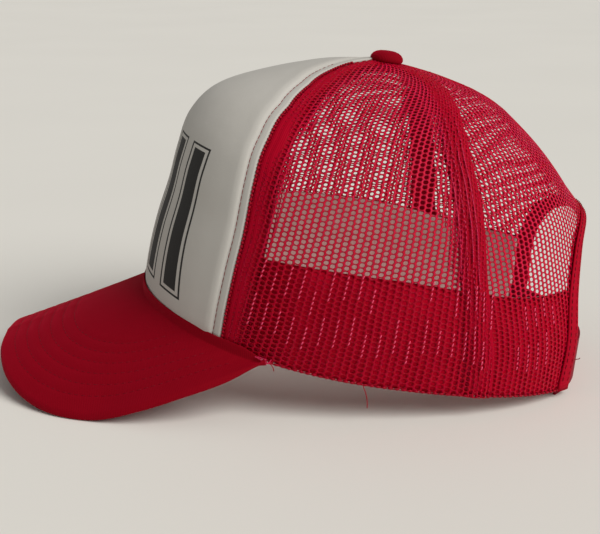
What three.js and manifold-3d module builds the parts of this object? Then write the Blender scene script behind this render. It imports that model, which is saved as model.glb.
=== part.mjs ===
// Five-panel trucker hat: foam front, knitted mesh sides and back, stitched fabric peak.
// Millimetres, +Z up, the peak points to -Y, the wearer's left is +X.
// The hat stands as it would by itself, on the two low sides of the peak and the rear hem.
import * as THREE from 'three';
import Module from 'manifold-3d';

const wasm = await Module();
wasm.setup();

// Driving dimensions

const FOAM_THICK = 3.0;          // foam front, in the middle of the panel
const FOAM_EDGE_THICK = 1.2;     // foam front where the seams press it flat
const FOAM_PUFF = 1.3;           // how far the foam stands out between its seams
const FOAM_PUFF_RUN = 6.0;       // distance from a seam to the full puff
const MESH_THICK = 1.0;          // knitted mesh, as a plain wall
const GAP = 0.3;                 // clearance between touching pieces
const TAPE_THICK = 0.9;          // seam tape and binding
const TAPE_FOOT = 0.012;         // the tapes' lower ends, as a share of the way up the crown
const BACK_TAPE_WIDTH = 11;      // tape on the centre back seam
const FRONT_TAPE_SIDES = [3.5, 12];  // tape's width before and after the foam seam
const SIDE_TAPE_SIDES = [11, 2];     // tape's width before and after the side seam
const BINDING_WIDTH = 8;         // binding round the back opening
const BINDING_GAP = 0.5;         // binding behind the inner face of the mesh
const BAND_THICK = 1.2;          // sweatband
const BAND_SETBACK = 3.2;        // sweatband behind the outer face of the mesh
const OPENING_HALF_WIDTH = 50;   // back opening at the hem
const OPENING_SQUARE = 2.5;      // 2 would be an ellipse, more is squarer
const HEM_CORNER = 0.018;        // the hem rises by this share where it meets the back opening
const OPENING_TOP = 0.40;        // back opening's top, as a share of the way up the crown
const OPENING_FLARE = 3.2;       // how far the top of the opening stands out at the back
const STRAP_TOP = 0.092;         // strap's top, as a share of the way up the crown
const STRAP_THICK = 1.1;         // snap strap
const STRAP_SETBACK = 3.0;       // outer strap behind the outer face of the mesh
const STRAP_REACH = 61;          // each strap's sewn end, round the crown from the middle
const STRAP_OVERLAP = 27;        // each strap passes the middle by this much
const STRAP_BOTTOM = -1.8;       // the straps' straight lower edge, which the hat rests on
const PEG_RADIUS = 1.8;          // snap pegs
const PEG_HOLE_RADIUS = 2.2;     // their holes in the inner strap
const PEG_STEP = 8.5;            // distance from one peg to the next
const PEG_COUNT = 6;             // pegs on the outer strap
const PEG_UP = 0.048;            // their height, as a share of the way up the crown
const PEAK_THICK = 3.2;          // peak: board between two cloths
const PEAK_LIP = 1.9;            // turned-up lip of the peak along the foam
const PEAK_END = 1.126;          // where the peak ends, as an angle round the crown
const CROWN_TOP = 0.975;         // the panels end here, under the button
const BUTTON_RADIUS = 7.2;
const BUTTON_HEIGHT = 5.0;
const BUTTON_TILT = 0.15;        // the button leans back with the crown
const BUTTON_PLACE = [57.6, 134.4];  // its foot, along Y and Z

// Crown sections from the hem to the button

const SECTIONS = {
  columns: ['frontY', 'frontZ', 'sideX', 'sideZ', 'backY', 'backZ', 'centreY', 'squareFront', 'squareBack'],
  rows: [
    [-49.2, 36.8, 80.0, 12.5, 147.3, -1.6, 52.0, 2.25, 2.32],
    [-46.0, 54.0, 81.5, 31.0, 149.6, 20.0, 52.0, 2.25, 2.30],
    [-42.0, 69.0, 81.5, 48.0, 148.4, 40.0, 52.0, 2.25, 2.20],
    [-36.8, 84.0, 80.0, 65.0, 146.5, 58.5, 52.0, 2.25, 2.10],
    [-32.6, 99.0, 76.5, 82.0, 141.6, 75.0, 52.5, 2.25, 2.05],
    [-27.2, 112.9, 69.0, 98.0, 131.4, 91.0, 53.0, 2.25, 2.00],
    [-15.6, 123.6, 57.0, 112.0, 117.7, 106.5, 54.0, 2.25, 2.00],
    [6.0, 130.2, 40.5, 123.0, 103.0, 119.0, 55.5, 2.25, 2.00],
    [32.0, 134.2, 21.5, 130.6, 81.5, 128.5, 57.0, 2.25, 2.00],
    [58.0, 134.6, 0.0, 134.6, 58.0, 134.6, 58.0, 2.25, 2.00],
  ],
};

// Seams on the wearer's left, as the angle round the crown from the front

const SEAMS = {
  columns: ['up', 'foam', 'side'],
  rows: [
    [0.00, 0.890, 1.974],
    [0.15, 0.908, 1.962],
    [0.30, 0.922, 1.968],
    [0.45, 0.932, 1.990],
    [0.60, 0.952, 2.036],
    [0.70, 0.937, 2.100],
    [0.79, 0.850, 2.200],
    [0.87, 0.700, 2.380],
    [0.93, 0.560, 2.560],
    [1.00, 0.480, 2.700],
  ],
};

// Lower outer edge of the peak, from its middle to its left end

const PEAK_EDGE = {
  columns: ['x', 'y', 'z'],
  rows: [
    [0.0, -114.0, 11.0],
    [20.0, -113.0, 9.2],
    [40.0, -107.5, 5.0],
    [56.0, -97.4, 0.6],
    [68.0, -83.6, -1.8],
    [75.5, -66.0, -1.6],
    [80.0, -48.0, 3.4],
    [81.0, -30.0, 9.4],
    [79.5, -14.0, 14.6],
    [75.0, 3.0, 20.8],
  ],
};

// Rows of every panel: even heights, and closer ones where the back opening curves in

const OPENING_ROWS = [0, 0.25, 0.5, 0.7, 0.85, 0.94, 0.985, 1].map(s => OPENING_TOP * s);
const UPPER_ROWS = [0.46, 0.52, 0.58, 0.64, 0.70, 0.755, 0.81, 0.86, 0.905, 0.945, CROWN_TOP];
const ROWS = OPENING_ROWS.concat(UPPER_ROWS);
const PLAIN_ROWS = ROWS.filter(v => v !== OPENING_ROWS[5] && v !== OPENING_ROWS[6]);

// Smooth reading of a table column: Catmull-Rom through even rows

function readEven(rows, column, t) {
  const n = rows.length - 1;
  const place = Math.min(Math.max(t, 0), 1) * n;
  const i = Math.min(Math.floor(place), n - 1);
  const f = place - i;
  const at = k => {
    if (k < 0) return 2 * rows[0][column] - rows[1][column];
    if (k > n) return 2 * rows[n][column] - rows[n - 1][column];
    return rows[k][column];
  };
  const [a, b, c, d] = [at(i - 1), at(i), at(i + 1), at(i + 2)];
  return b + 0.5 * f * (c - a + f * (2 * a - 5 * b + 4 * c - d + f * (3 * (b - c) + d - a)));
}

// Smooth reading of a seam at a height: eased between the two rows round it

function readSeam(name, v) {
  const column = SEAMS.columns.indexOf(name);
  const rows = SEAMS.rows;
  let i = 0;
  while (i < rows.length - 2 && v > rows[i + 1][0]) i += 1;
  const f = Math.min(Math.max((v - rows[i][0]) / (rows[i + 1][0] - rows[i][0]), 0), 1);
  return rows[i][column] + (rows[i + 1][column] - rows[i][column]) * f;
}

// A point on the crown: v is 0 at the hem and 1 at the button, phi is 0 at the front

function crownPoint(v, turn) {
  const phi = turn > Math.PI ? turn - 2 * Math.PI : turn;
  const row = SECTIONS.columns.map((_, k) => readEven(SECTIONS.rows, k, v));
  const [fy, fz, sx, sz, by, bz, cy, nf, nb] = row;
  const a = Math.abs(phi);
  const isFront = a < Math.PI / 2;
  const power = 2 / (isFront ? nf : nb);
  const s = Math.abs(Math.sin(a)) ** power;
  const c = Math.abs(Math.cos(a)) ** power;
  const x = sx * s * (phi < 0 ? -1 : 1);
  const slope = (bz - sz) / Math.max(by - cy, 1e-6);
  const rim = ((v - 0.385) / 0.055) ** 2 + ((Math.PI - a) / 0.30) ** 2;
  const flare = OPENING_FLARE * Math.exp(-rim);
  const y = isFront ? cy - (cy - fy) * c : cy + (by - cy) * c + flare;
  const z = sz + slope * (y - cy) + (isFront ? (fz - sz - slope * (fy - cy)) * c * c : 0);
  return new THREE.Vector3(x, y, z);
}

// The crown's outward direction at a point

function crownNormal(v, phi) {
  const h = 1e-3;
  const lo = Math.max(v - h, 0);
  const hi = Math.min(v + h, 1);
  const along = crownPoint(v, phi + h).sub(crownPoint(v, phi - h));
  const up = crownPoint(hi, phi).sub(crownPoint(lo, phi));
  return along.cross(up).normalize();
}

// A point set off from the crown: positive is outwards

function offCrown(v, phi, out) {
  return crownPoint(v, phi).addScaledVector(crownNormal(v, phi), out);
}

// The angle that lies a distance in mm further round the crown

function stepRound(v, phi, distance) {
  let angle = phi;
  const step = distance / 8;
  for (let i = 0; i < 8; i += 1) {
    const speed = crownPoint(v, angle + 5e-3).distanceTo(crownPoint(v, angle - 5e-3)) / 0.01;
    angle += step / Math.max(speed, 1);
  }
  return angle;
}

// Half width of the back opening, and the angle of its left edge, grown outwards by some mm

function openingEdge(v, grow) {
  const high = OPENING_TOP + grow / 205;
  const wide = OPENING_HALF_WIDTH + grow;
  if (v >= high) return Math.PI;
  const half = wide * (1 - (v / high) ** OPENING_SQUARE) ** (1 / OPENING_SQUARE);
  const sideX = readEven(SECTIONS.rows, 2, v);
  const power = readEven(SECTIONS.rows, 8, v);
  return Math.PI - Math.asin(Math.min((half / sideX) ** (power / 2), 1));
}

// A closed solid between an outer and an inner grid of points

function solidBetween(outer, inner) {
  const corners = [];
  const quad = (a, b, c, d) => {
    corners.push(a, b, c, a, c, d);
  };
  const last = outer.length - 1;
  const end = outer[0].length - 1;
  for (let i = 0; i < last; i += 1) {
    for (let j = 0; j < end; j += 1) {
      quad(outer[i][j], outer[i][j + 1], outer[i + 1][j + 1], outer[i + 1][j]);
      quad(inner[i][j + 1], inner[i][j], inner[i + 1][j], inner[i + 1][j + 1]);
    }
    quad(inner[i][0], outer[i][0], outer[i + 1][0], inner[i + 1][0]);
    quad(outer[i][end], inner[i][end], inner[i + 1][end], outer[i + 1][end]);
  }
  for (let j = 0; j < end; j += 1) {
    quad(inner[0][j], inner[0][j + 1], outer[0][j + 1], outer[0][j]);
    quad(outer[last][j], outer[last][j + 1], inner[last][j + 1], inner[last][j]);
  }
  return fromCorners(corners);
}

// Triangles with no area are left out, where a grid closes to a point

function fromCorners(corners) {
  const kept = [];
  for (let i = 0; i < corners.length; i += 3) {
    const [a, b, c] = [corners[i], corners[i + 1], corners[i + 2]];
    const area = b.clone().sub(a).cross(c.clone().sub(a)).length();
    if (area > 1e-6) kept.push(a, b, c);
  }
  const geometry = new THREE.BufferGeometry().setFromPoints(kept);
  geometry.computeVertexNormals();
  return geometry;
}

function grid(rowList, columns, place) {
  return rowList.map((v, i) => {
    const line = [];
    for (let j = 0; j <= columns; j += 1) line.push(place(v, j / columns, i));
    return line;
  });
}

// Foam front: thin at its seams, thick and puffed between them

function foamFront() {
  const rows = [0, 0.012].concat(PLAIN_ROWS.slice(1));
  const spread = [-1, -0.94, -0.86, -0.72, -0.54, -0.36, -0.18, 0, 0.18, 0.36, 0.54, 0.72, 0.86, 0.94, 1];
  const surface = (face) => rows.map((v) => {
    const edge = stepRound(v, readSeam('foam', v), -GAP / 2);
    return spread.map((s) => {
      const phi = edge * s;
      const reach = crownPoint(v, phi).distanceTo(crownPoint(v, Math.sign(s) * edge));
      const side = Math.min(reach / FOAM_PUFF_RUN, 1);
      const foot = Math.min(v * 205 / 9, 1);
      const head = Math.min((1 - v) * 205 / 40, 1);
      const full = Math.sin(Math.min(side, foot, head) * Math.PI / 2);
      const puff = FOAM_PUFF * full;
      const thick = FOAM_EDGE_THICK + (FOAM_THICK - FOAM_EDGE_THICK) * full;
      return offCrown(v, phi, face === 'outer' ? puff : puff - thick);
    });
  });
  return solidBetween(surface('outer'), surface('inner'));
}

// Mesh panels on the wearer's left; the right ones are their mirror images

function meshSide() {
  const place = out => grid(PLAIN_ROWS, 13, (v, s) => {
    const from = stepRound(v, readSeam('foam', v), GAP / 2);
    const to = stepRound(v, readSeam('side', v), -GAP / 2);
    return offCrown(v, from + (to - from) * s, out);
  });
  return solidBetween(place(0), place(-MESH_THICK));
}

function meshBack() {
  const place = out => grid(ROWS, 13, (v, s) => {
    const from = stepRound(v, readSeam('side', v), GAP / 2);
    const middle = stepRound(v, Math.PI, -GAP / 2);
    const to = Math.min(openingEdge(v, 0), middle);
    const eased = 0.35 * s + 0.65 * (1 - (1 - s) ** 1.6);
    const corner = v > 0 ? 0 : HEM_CORNER * Math.max(0, (s - 0.6) / 0.4) ** 2;
    return offCrown(v + corner, from + (to - from) * eased, out);
  });
  return solidBetween(place(0), place(-MESH_THICK));
}

// Seam tapes lie behind the panels from the hem up to the button

function tapeWidth(v) {
  return Math.min(Math.max((1.0 - v) / 0.16, 0.3), 1);
}

function seamTape(seam, [before, after]) {
  const rows = [TAPE_FOOT].concat(PLAIN_ROWS.filter(v => v > 0.05 && v < 0.95));
  const place = out => grid(rows, 3, (v, s) => {
    const across = (-before + (before + after) * s) * tapeWidth(v);
    return offCrown(v, stepRound(v, readSeam(seam, v), across), out);
  });
  const wall = seam === 'foam' ? FOAM_EDGE_THICK + 0.35 : MESH_THICK;
  const face = -wall - GAP;
  return solidBetween(place(face), place(face - TAPE_THICK));
}

function backTape() {
  const rows = PLAIN_ROWS.filter(v => v > OPENING_TOP + 0.05 && v < 0.95);
  const place = out => grid(rows, 3, (v, s) =>
    offCrown(v, stepRound(v, Math.PI, BACK_TAPE_WIDTH * (s - 0.5) * tapeWidth(v)), out));
  return solidBetween(place(-MESH_THICK - GAP), place(-MESH_THICK - GAP - TAPE_THICK));
}

// Binding round the back opening, behind the mesh

function binding() {
  const turns = 34;
  const line = (grow, out) => {
    const points = [];
    for (let k = 0; k <= turns; k += 1) {
      const angle = Math.PI * k / turns;
      const high = OPENING_TOP + grow / 205;
      const v = high * Math.sin(angle) ** (2 / OPENING_SQUARE);
      const along = Math.abs(Math.cos(angle)) ** (2 / OPENING_SQUARE);
      const half = (OPENING_HALF_WIDTH + grow) * along * (k * 2 > turns ? -1 : 1);
      const sideX = readEven(SECTIONS.rows, 2, v);
      const power = readEven(SECTIONS.rows, 8, v);
      const turn = Math.asin(Math.min((Math.abs(half) / sideX) ** (power / 2), 1));
      points.push(offCrown(v, Math.PI + (half > 0 ? -turn : turn), out));
    }
    return points;
  };
  const face = -MESH_THICK - BINDING_GAP;
  const steps = [0.2, BINDING_WIDTH / 2, BINDING_WIDTH];
  return solidBetween(steps.map(g => line(g, face)), steps.map(g => line(g, face - TAPE_THICK)));
}

// Sweatband, open at the back

function bandTop(phi) {
  const a = Math.abs(phi);
  if (a < 1.35) return 0.205 + 0.085 * Math.sin(Math.PI / 2 * a / 1.35) ** 2;
  return 0.237 + 0.053 * Math.cos(Math.PI / 2 * Math.min((a - 1.35) / 0.95, 1)) ** 2;
}

function sweatband() {
  const heights = [0.012, 0.30, 0.56, 0.78, 1];
  const end = v => openingEdge(v, BINDING_WIDTH + 1.5);
  const place = extra => heights.map((h) => {
    const points = [];
    for (let j = 0; j <= 52; j += 1) {
      const s = j / 26 - 1;
      const probe = end(0.2) * s;
      const v = h * bandTop(probe);
      const phi = end(v) * s;
      points.push(offCrown(v, phi, -BAND_SETBACK - extra));
    }
    return points;
  });
  return solidBetween(place(0), place(BAND_THICK));
}

// Snap strap in two halves that overlap at the middle; the outer one's pegs stand in the inner one's holes

function strap(from, to, setback) {
  const place = extra => grid([0.004, STRAP_TOP], 16, (v, s, row) => {
    const run = from + (to - from) * s;
    const point = offCrown(v, stepRound(v, Math.PI, run), -setback(run) - extra);
    if (row === 0) point.z = STRAP_BOTTOM;
    return point;
  });
  return solidBetween(place(0), place(STRAP_THICK));
}

function innerSetback(run) {
  const sewn = Math.min(Math.max((run - STRAP_OVERLAP - 5) / 18, 0), 1);
  return STRAP_SETBACK + (STRAP_THICK + GAP) * (1 - sewn);
}

function pegRow(radius, start, length) {
  const pegs = [];
  for (let k = 0; k < PEG_COUNT; k += 1) {
    const phi = stepRound(PEG_UP, Math.PI, (k - (PEG_COUNT - 1) / 2) * PEG_STEP);
    const inward = crownNormal(PEG_UP, phi).negate();
    const peg = new THREE.CylinderGeometry(radius, radius, length, 14);
    peg.applyQuaternion(new THREE.Quaternion().setFromUnitVectors(new THREE.Vector3(0, 1, 0), inward));
    const middle = offCrown(PEG_UP, phi, -start - length / 2);
    peg.translate(middle.x, middle.y, middle.z);
    pegs.push(toManifold(peg));
  }
  return wasm.Manifold.union(pegs);
}

function strapOuter() {
  const flat = strap(-STRAP_REACH, STRAP_OVERLAP, () => STRAP_SETBACK);
  const reach = STRAP_THICK + GAP + 0.7;
  const pegs = pegRow(PEG_RADIUS, STRAP_SETBACK + STRAP_THICK / 2, STRAP_THICK / 2 + reach);
  return fromManifold(toManifold(flat).add(pegs));
}

function strapInner() {
  const setback = STRAP_SETBACK + STRAP_THICK + GAP;
  const flat = strap(-STRAP_OVERLAP, STRAP_REACH, innerSetback);
  const holes = pegRow(PEG_HOLE_RADIUS, setback - 2, STRAP_THICK + 4);
  return fromManifold(toManifold(flat).subtract(holes));
}

// Between three.js and manifold-3d

function toManifold(geometry) {
  const source = geometry.index ? geometry.toNonIndexed() : geometry;
  const points = Float32Array.from(source.getAttribute('position').array);
  const triVerts = Uint32Array.from({ length: points.length / 3 }, (_, i) => i);
  const mesh = new wasm.Mesh({ numProp: 3, vertProperties: points, triVerts });
  mesh.merge();
  return new wasm.Manifold(mesh);
}

function fromManifold(solid) {
  const mesh = solid.getMesh();
  const geometry = new THREE.BufferGeometry();
  geometry.setAttribute('position', new THREE.BufferAttribute(Float32Array.from(mesh.vertProperties), 3));
  geometry.setIndex(new THREE.BufferAttribute(Uint32Array.from(mesh.triVerts), 1));
  const loose = geometry.toNonIndexed();
  loose.computeVertexNormals();
  return loose;
}

// Peak: straight lines from the crown's hem to the outer edge, with a turned-up lip on the crown

function peakTop(w, s) {
  const t = Math.abs(s);
  const side = s < 0 ? -1 : 1;
  const edge = new THREE.Vector3(
    side * readEven(PEAK_EDGE.rows, 0, t),
    readEven(PEAK_EDGE.rows, 1, t),
    readEven(PEAK_EDGE.rows, 2, t) + PEAK_THICK,
  );
  const hem = offCrown(0, s * PEAK_END, 0.95);
  return hem.lerp(edge, w);
}

function peak() {
  const across = 44;
  const board = (s) => {
    const end = Math.max(0, (Math.abs(s) - 0.86) / 0.14);
    return PEAK_THICK * (1 - 0.55 * end * end);
  };
  const steps = [0, 0.012, 0.035, 0.2, 0.4, 0.6, 0.8, 0.94, 0.985, 1];
  const rise = w => PEAK_LIP * Math.max(0, 1 - w / 0.035);
  const round = w => Math.max(0, (w - 0.94) / 0.06) ** 2 * 0.75;
  const line = (face, w) => {
    const points = [];
    for (let j = 0; j <= across; j += 1) {
      const s = 2 * j / across - 1;
      const point = peakTop(w, s);
      const share = board(s) / PEAK_THICK;
      if (face === 'top') point.z += (rise(w) - round(w)) * share;
      else point.z -= board(s) - round(w) * share;
      points.push(point);
    }
    return points;
  };
  const top = steps.map(w => line('top', w)).reverse();
  const under = steps.map(w => line('under', w)).reverse();
  return solidBetween(top, under);
}

// Covered button, with a short stem through the crown and a plain disc inside

function button() {
  const r = BUTTON_RADIUS;
  const profile = [
    [0, -3.4], [4.2, -3.4], [4.2, -2.6], [1.6, -2.6], [1.6, 0.2],
    [r - 0.7, 0.2], [r, 0.9], [r - 0.1, 2.2], [r * 0.84, BUTTON_HEIGHT - 1.3],
    [r * 0.58, BUTTON_HEIGHT - 0.35], [r * 0.3, BUTTON_HEIGHT], [0, BUTTON_HEIGHT],
  ].map(([x, y]) => new THREE.Vector2(x, y));
  const lathe = new THREE.LatheGeometry(profile, 24);
  lathe.rotateX(Math.PI / 2 - BUTTON_TILT);
  lathe.translate(0, BUTTON_PLACE[0], BUTTON_PLACE[1]);
  return lathe;
}

// Assembly

const CLOTHS = {
  foam: new THREE.MeshStandardMaterial({ color: 0xe6e5e0, roughness: 0.8, metalness: 0 }),
  mesh: new THREE.MeshStandardMaterial({ color: 0xb3122f, roughness: 0.55, metalness: 0 }),
  twill: new THREE.MeshStandardMaterial({ color: 0x8f0f24, roughness: 0.75, metalness: 0 }),
  band: new THREE.MeshStandardMaterial({ color: 0x86101f, roughness: 0.85, metalness: 0 }),
  plastic: new THREE.MeshStandardMaterial({ color: 0x9a1024, roughness: 0.35, metalness: 0 }),
};

function mirrored(geometry) {
  const copy = geometry.clone();
  const points = copy.getAttribute('position');
  for (let i = 0; i < points.count; i += 3) {
    const corner = k => [-points.getX(i + k), points.getY(i + k), points.getZ(i + k)];
    const [a, b, c] = [corner(0), corner(1), corner(2)];
    points.setXYZ(i, ...a);
    points.setXYZ(i + 1, ...c);
    points.setXYZ(i + 2, ...b);
  }
  copy.computeVertexNormals();
  return copy;
}

const hat = new THREE.Group();
hat.name = 'trucker_hat';

function add(name, geometry, cloth) {
  const mesh = new THREE.Mesh(geometry, CLOTHS[cloth]);
  mesh.name = name;
  hat.add(mesh);
}

const side = meshSide();
const back = meshBack();
const foamTape = seamTape('foam', FRONT_TAPE_SIDES);
const sideTape = seamTape('side', SIDE_TAPE_SIDES);

add('foam_front', foamFront(), 'foam');
add('mesh_side_left', side, 'mesh');
add('mesh_side_right', mirrored(side), 'mesh');
add('mesh_back_left', back, 'mesh');
add('mesh_back_right', mirrored(back), 'mesh');
add('peak', peak(), 'twill');
add('sweatband', sweatband(), 'band');
add('seam_tape_front_left', foamTape, 'band');
add('seam_tape_front_right', mirrored(foamTape), 'band');
add('seam_tape_side_left', sideTape, 'band');
add('seam_tape_side_right', mirrored(sideTape), 'band');
add('seam_tape_back', backTape(), 'band');
add('opening_binding', binding(), 'band');
add('strap_outer', strapOuter(), 'plastic');
add('strap_inner', strapInner(), 'plastic');
add('button', button(), 'twill');

// The origin is the middle of the hat's footprint on the floor

const box = new THREE.Box3().setFromObject(hat);
const shiftY = -(box.min.y + box.max.y) / 2;
hat.children.forEach(mesh => mesh.geometry.translate(0, shiftY, -box.min.z));

export default hat;
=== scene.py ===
# %% [markdown]
# # A five-panel trucker hat
# The hat's solids come from a CAD model that fixes every size and place. This lesson
# dresses them: foam cloth, knitted net, seam tapes, a stitched peak and a covered button.
# We load the solids first, with a helper that reads a part's box.

import math

import bmesh
import bpy
import numpy as np
from mathutils import Matrix, Vector, noise


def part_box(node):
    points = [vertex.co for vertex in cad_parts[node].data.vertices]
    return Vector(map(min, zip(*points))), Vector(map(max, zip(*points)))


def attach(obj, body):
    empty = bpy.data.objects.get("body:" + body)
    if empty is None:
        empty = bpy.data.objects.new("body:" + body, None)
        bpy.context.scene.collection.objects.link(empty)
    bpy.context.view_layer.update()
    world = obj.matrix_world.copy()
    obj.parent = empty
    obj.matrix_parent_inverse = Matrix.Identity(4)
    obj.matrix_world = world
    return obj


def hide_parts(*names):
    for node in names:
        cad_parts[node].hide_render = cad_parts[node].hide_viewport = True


noise.seed_set(1)          # so that every run draws the same noise
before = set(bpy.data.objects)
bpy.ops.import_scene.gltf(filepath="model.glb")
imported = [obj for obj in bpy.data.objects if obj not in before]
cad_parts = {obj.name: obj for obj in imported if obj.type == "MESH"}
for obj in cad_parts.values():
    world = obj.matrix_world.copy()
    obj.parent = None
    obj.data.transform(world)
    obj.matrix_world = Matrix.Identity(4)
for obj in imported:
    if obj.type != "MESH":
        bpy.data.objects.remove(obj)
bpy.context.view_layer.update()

# %% [markdown]
# ## The crown as a formula
# A sewn crown is a soft dome, so most of its pieces are flat cloth bent over one surface.
# We could sculpt that surface, but a formula lets us cut each piece flat and bend it later.
# Ten level sections, from the hem to the button, say how far forward, sideways and back
# the dome reaches. Between them we read the columns along a smooth curve.

# %% Sections of the crown
MM = 0.001                 # Blender works in metres here
DRAWN_PEAK_Y = -114.0      # where the tables draw the front of the peak
DRAWN_STRAP_Z = -1.8       # and the lower edge of the strap
CROWN_LENGTH = 205.0       # from the hem up to the button, along the cloth
CROWN_TOP = 0.975          # the panels end here, under the button
SECTIONS = {
    "front_y": [-49.2, -46.0, -42.0, -36.8, -32.6, -27.2, -15.6, 6.0, 32.0, 58.0],
    "front_z": [36.8, 54.0, 69.0, 84.0, 99.0, 112.9, 123.6, 130.2, 134.2, 134.6],
    "side_x": [80.0, 81.5, 81.5, 80.0, 76.5, 69.0, 57.0, 40.5, 21.5, 0.0],
    "side_z": [12.5, 31.0, 48.0, 65.0, 82.0, 98.0, 112.0, 123.0, 130.6, 134.6],
    "back_y": [147.3, 149.6, 148.4, 146.5, 141.6, 131.4, 117.7, 103.0, 81.5, 58.0],
    "back_z": [-1.6, 20.0, 40.0, 58.5, 75.0, 91.0, 106.5, 119.0, 128.5, 134.6],
    "centre_y": [52.0, 52.0, 52.0, 52.0, 52.5, 53.0, 54.0, 55.5, 57.0, 58.0],
    "square_front": [2.25] * 10,
    "square_back": [2.32, 2.30, 2.20, 2.10, 2.05, 2.0, 2.0, 2.0, 2.0, 2.0],
}
FLARE = 3.2                # the top of the back opening stands out by this much
FLARE_V, FLARE_UP, FLARE_ROUND = 0.385, 0.055, 0.30     # its height, and its reach up and round
MOUND, MOUND_RUN = 1.3, 0.09            # under the button the layers pile up by this much
MOUND_LEAN = 0.5           # with more of it in front, where the foam is

peak_low, strap_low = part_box("peak")[0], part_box("strap_outer")[0]
SHIFT = np.array([0.0, peak_low.y / MM - DRAWN_PEAK_Y, strap_low.z / MM - DRAWN_STRAP_Z])


def smooth_column(values, share):
    """Reads a table column along a smooth curve; share runs from 0 to 1 over even rows."""
    rows = np.asarray(values, float)
    last = len(rows) - 1
    rows = np.concatenate([[2 * rows[0] - rows[1]], rows, [2 * rows[-1] - rows[-2]]])
    place = np.clip(np.asarray(share, float), 0, 1) * last
    i = np.minimum(place.astype(int), last - 1)
    f = place - i
    a, b, c, d = (rows[i + k] for k in range(4))
    return b + 0.5 * f * (c - a + f * (2 * a - 5 * b + 4 * c - d + f * (3 * (b - c) + d - a)))


def crown(v, phi):
    """A point of the dome in mm: v is 0 at the hem and 1 at the button, phi is 0 at the front."""
    v, phi = np.broadcast_arrays(np.asarray(v, float), np.asarray(phi, float))
    phi = np.where(phi > math.pi, phi - 2 * math.pi, phi)
    row = {name: smooth_column(values, v) for name, values in SECTIONS.items()}
    turn = np.abs(phi)
    ahead = turn < math.pi / 2
    power = 2 / np.where(ahead, row["square_front"], row["square_back"])
    s, c = np.abs(np.sin(turn)) ** power, np.abs(np.cos(turn)) ** power
    rim = ((v - FLARE_V) / FLARE_UP) ** 2 + ((math.pi - turn) / FLARE_ROUND) ** 2
    front, back = row["centre_y"] - row["front_y"], row["back_y"] - row["centre_y"]
    y = row["centre_y"] + np.where(ahead, -front * c, back * c + FLARE * np.exp(-rim))
    slope = (row["back_z"] - row["side_z"]) / np.maximum(back, 1e-6)
    lift = (row["front_z"] - row["side_z"] + slope * front) * c * c
    z = row["side_z"] + slope * (y - row["centre_y"]) + np.where(ahead, lift, 0)
    return np.stack([row["side_x"] * s * np.where(phi < 0, -1, 1), y, z], -1)


def off_crown(v, phi, out):
    """A place in metres that lies out mm off the dome, outwards if positive."""
    near = 1e-3
    v, phi, out = np.broadcast_arrays(v, phi, out)
    along = crown(v, phi + near) - crown(v, phi - near)
    up = crown(np.minimum(v + near, 1), phi) - crown(np.maximum(v - near, 0), phi)
    normal = np.cross(along, up)
    normal /= np.linalg.norm(normal, axis=-1, keepdims=True)
    mound = MOUND * (1 + MOUND_LEAN * np.cos(phi)) * np.exp(-(((1 - v) / MOUND_RUN) ** 2))
    return (crown(v, phi) + normal * (out + mound)[..., None] + SHIFT) * MM


# %% [markdown]
# ## Measuring along the cloth
# Cloth is cut in millimetres and not in angles. So we measure the dome once on a fine
# grid, and then turn a distance round the hat into an angle by looking it up.

# %% Distances round the crown
GRID_V = np.linspace(0, 1, 241)
GRID_PHI = np.linspace(0, math.pi, 481)
steps = np.diff(crown(GRID_V[:, None], GRID_PHI[None, :]), axis=1)
ARC = np.zeros((len(GRID_V), len(GRID_PHI)))
ARC[:, 1:] = np.cumsum(np.linalg.norm(steps, axis=-1), axis=1)
HALF_ROUND = ARC[:, -1]
ARC_SHARES = np.linspace(0, 1, len(GRID_PHI))
ANGLE = np.array([np.interp(ARC_SHARES * row[-1], row, GRID_PHI) for row in ARC])


def look_up(table, row_share, column_share):
    """Reads a table between its rows and columns, both given as shares from 0 to 1."""
    i = np.clip(row_share, 0, 1) * (table.shape[0] - 1)
    j = np.clip(column_share, 0, 1) * (table.shape[1] - 1)
    i0 = np.minimum(i.astype(int), table.shape[0] - 2)
    j0 = np.minimum(j.astype(int), table.shape[1] - 2)
    fi, fj = i - i0, j - j0
    near = table[i0, j0] * (1 - fj) + table[i0, j0 + 1] * fj
    far = table[i0 + 1, j0] * (1 - fj) + table[i0 + 1, j0 + 1] * fj
    return near * (1 - fi) + far * fi


def half_round(v):
    """Distance in mm from the front's middle to the back's middle, at one height."""
    return np.interp(v, GRID_V, HALF_ROUND)


def arc_at(v, phi):
    """Distance in mm from the front's middle round to an angle."""
    v, phi = np.broadcast_arrays(np.asarray(v, float), np.asarray(phi, float))
    return look_up(ARC, v, phi / math.pi)


def angle_at(v, arc):
    """The angle at a distance from the front's middle; negative is the wearer's right."""
    v, arc = np.broadcast_arrays(np.asarray(v, float), np.asarray(arc, float))
    whole = np.maximum(half_round(v), 1e-6)
    share = np.abs(arc) / whole
    phi = look_up(ANGLE, v, np.where(share > 1, 2 - share, share))
    return np.where(share > 1, 2 * math.pi - phi, phi) * np.where(arc < 0, -1, 1)


def turn_at(v, wide):
    """The angle, measured from the back's middle, at which the crown is wide mm to one side."""
    side, power = smooth_column(SECTIONS["side_x"], v), smooth_column(SECTIONS["square_back"], v)
    return np.arcsin(np.clip(wide / side, 0, 1) ** (power / 2))


print("round the hem in mm:", round(2 * half_round(0)))

# %% [markdown]
# ## Seams
# Five panels meet at four seams and the middle of the back. Each seam on the wearer's
# left is a short list of angles, and the right side is its mirror image.

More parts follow.
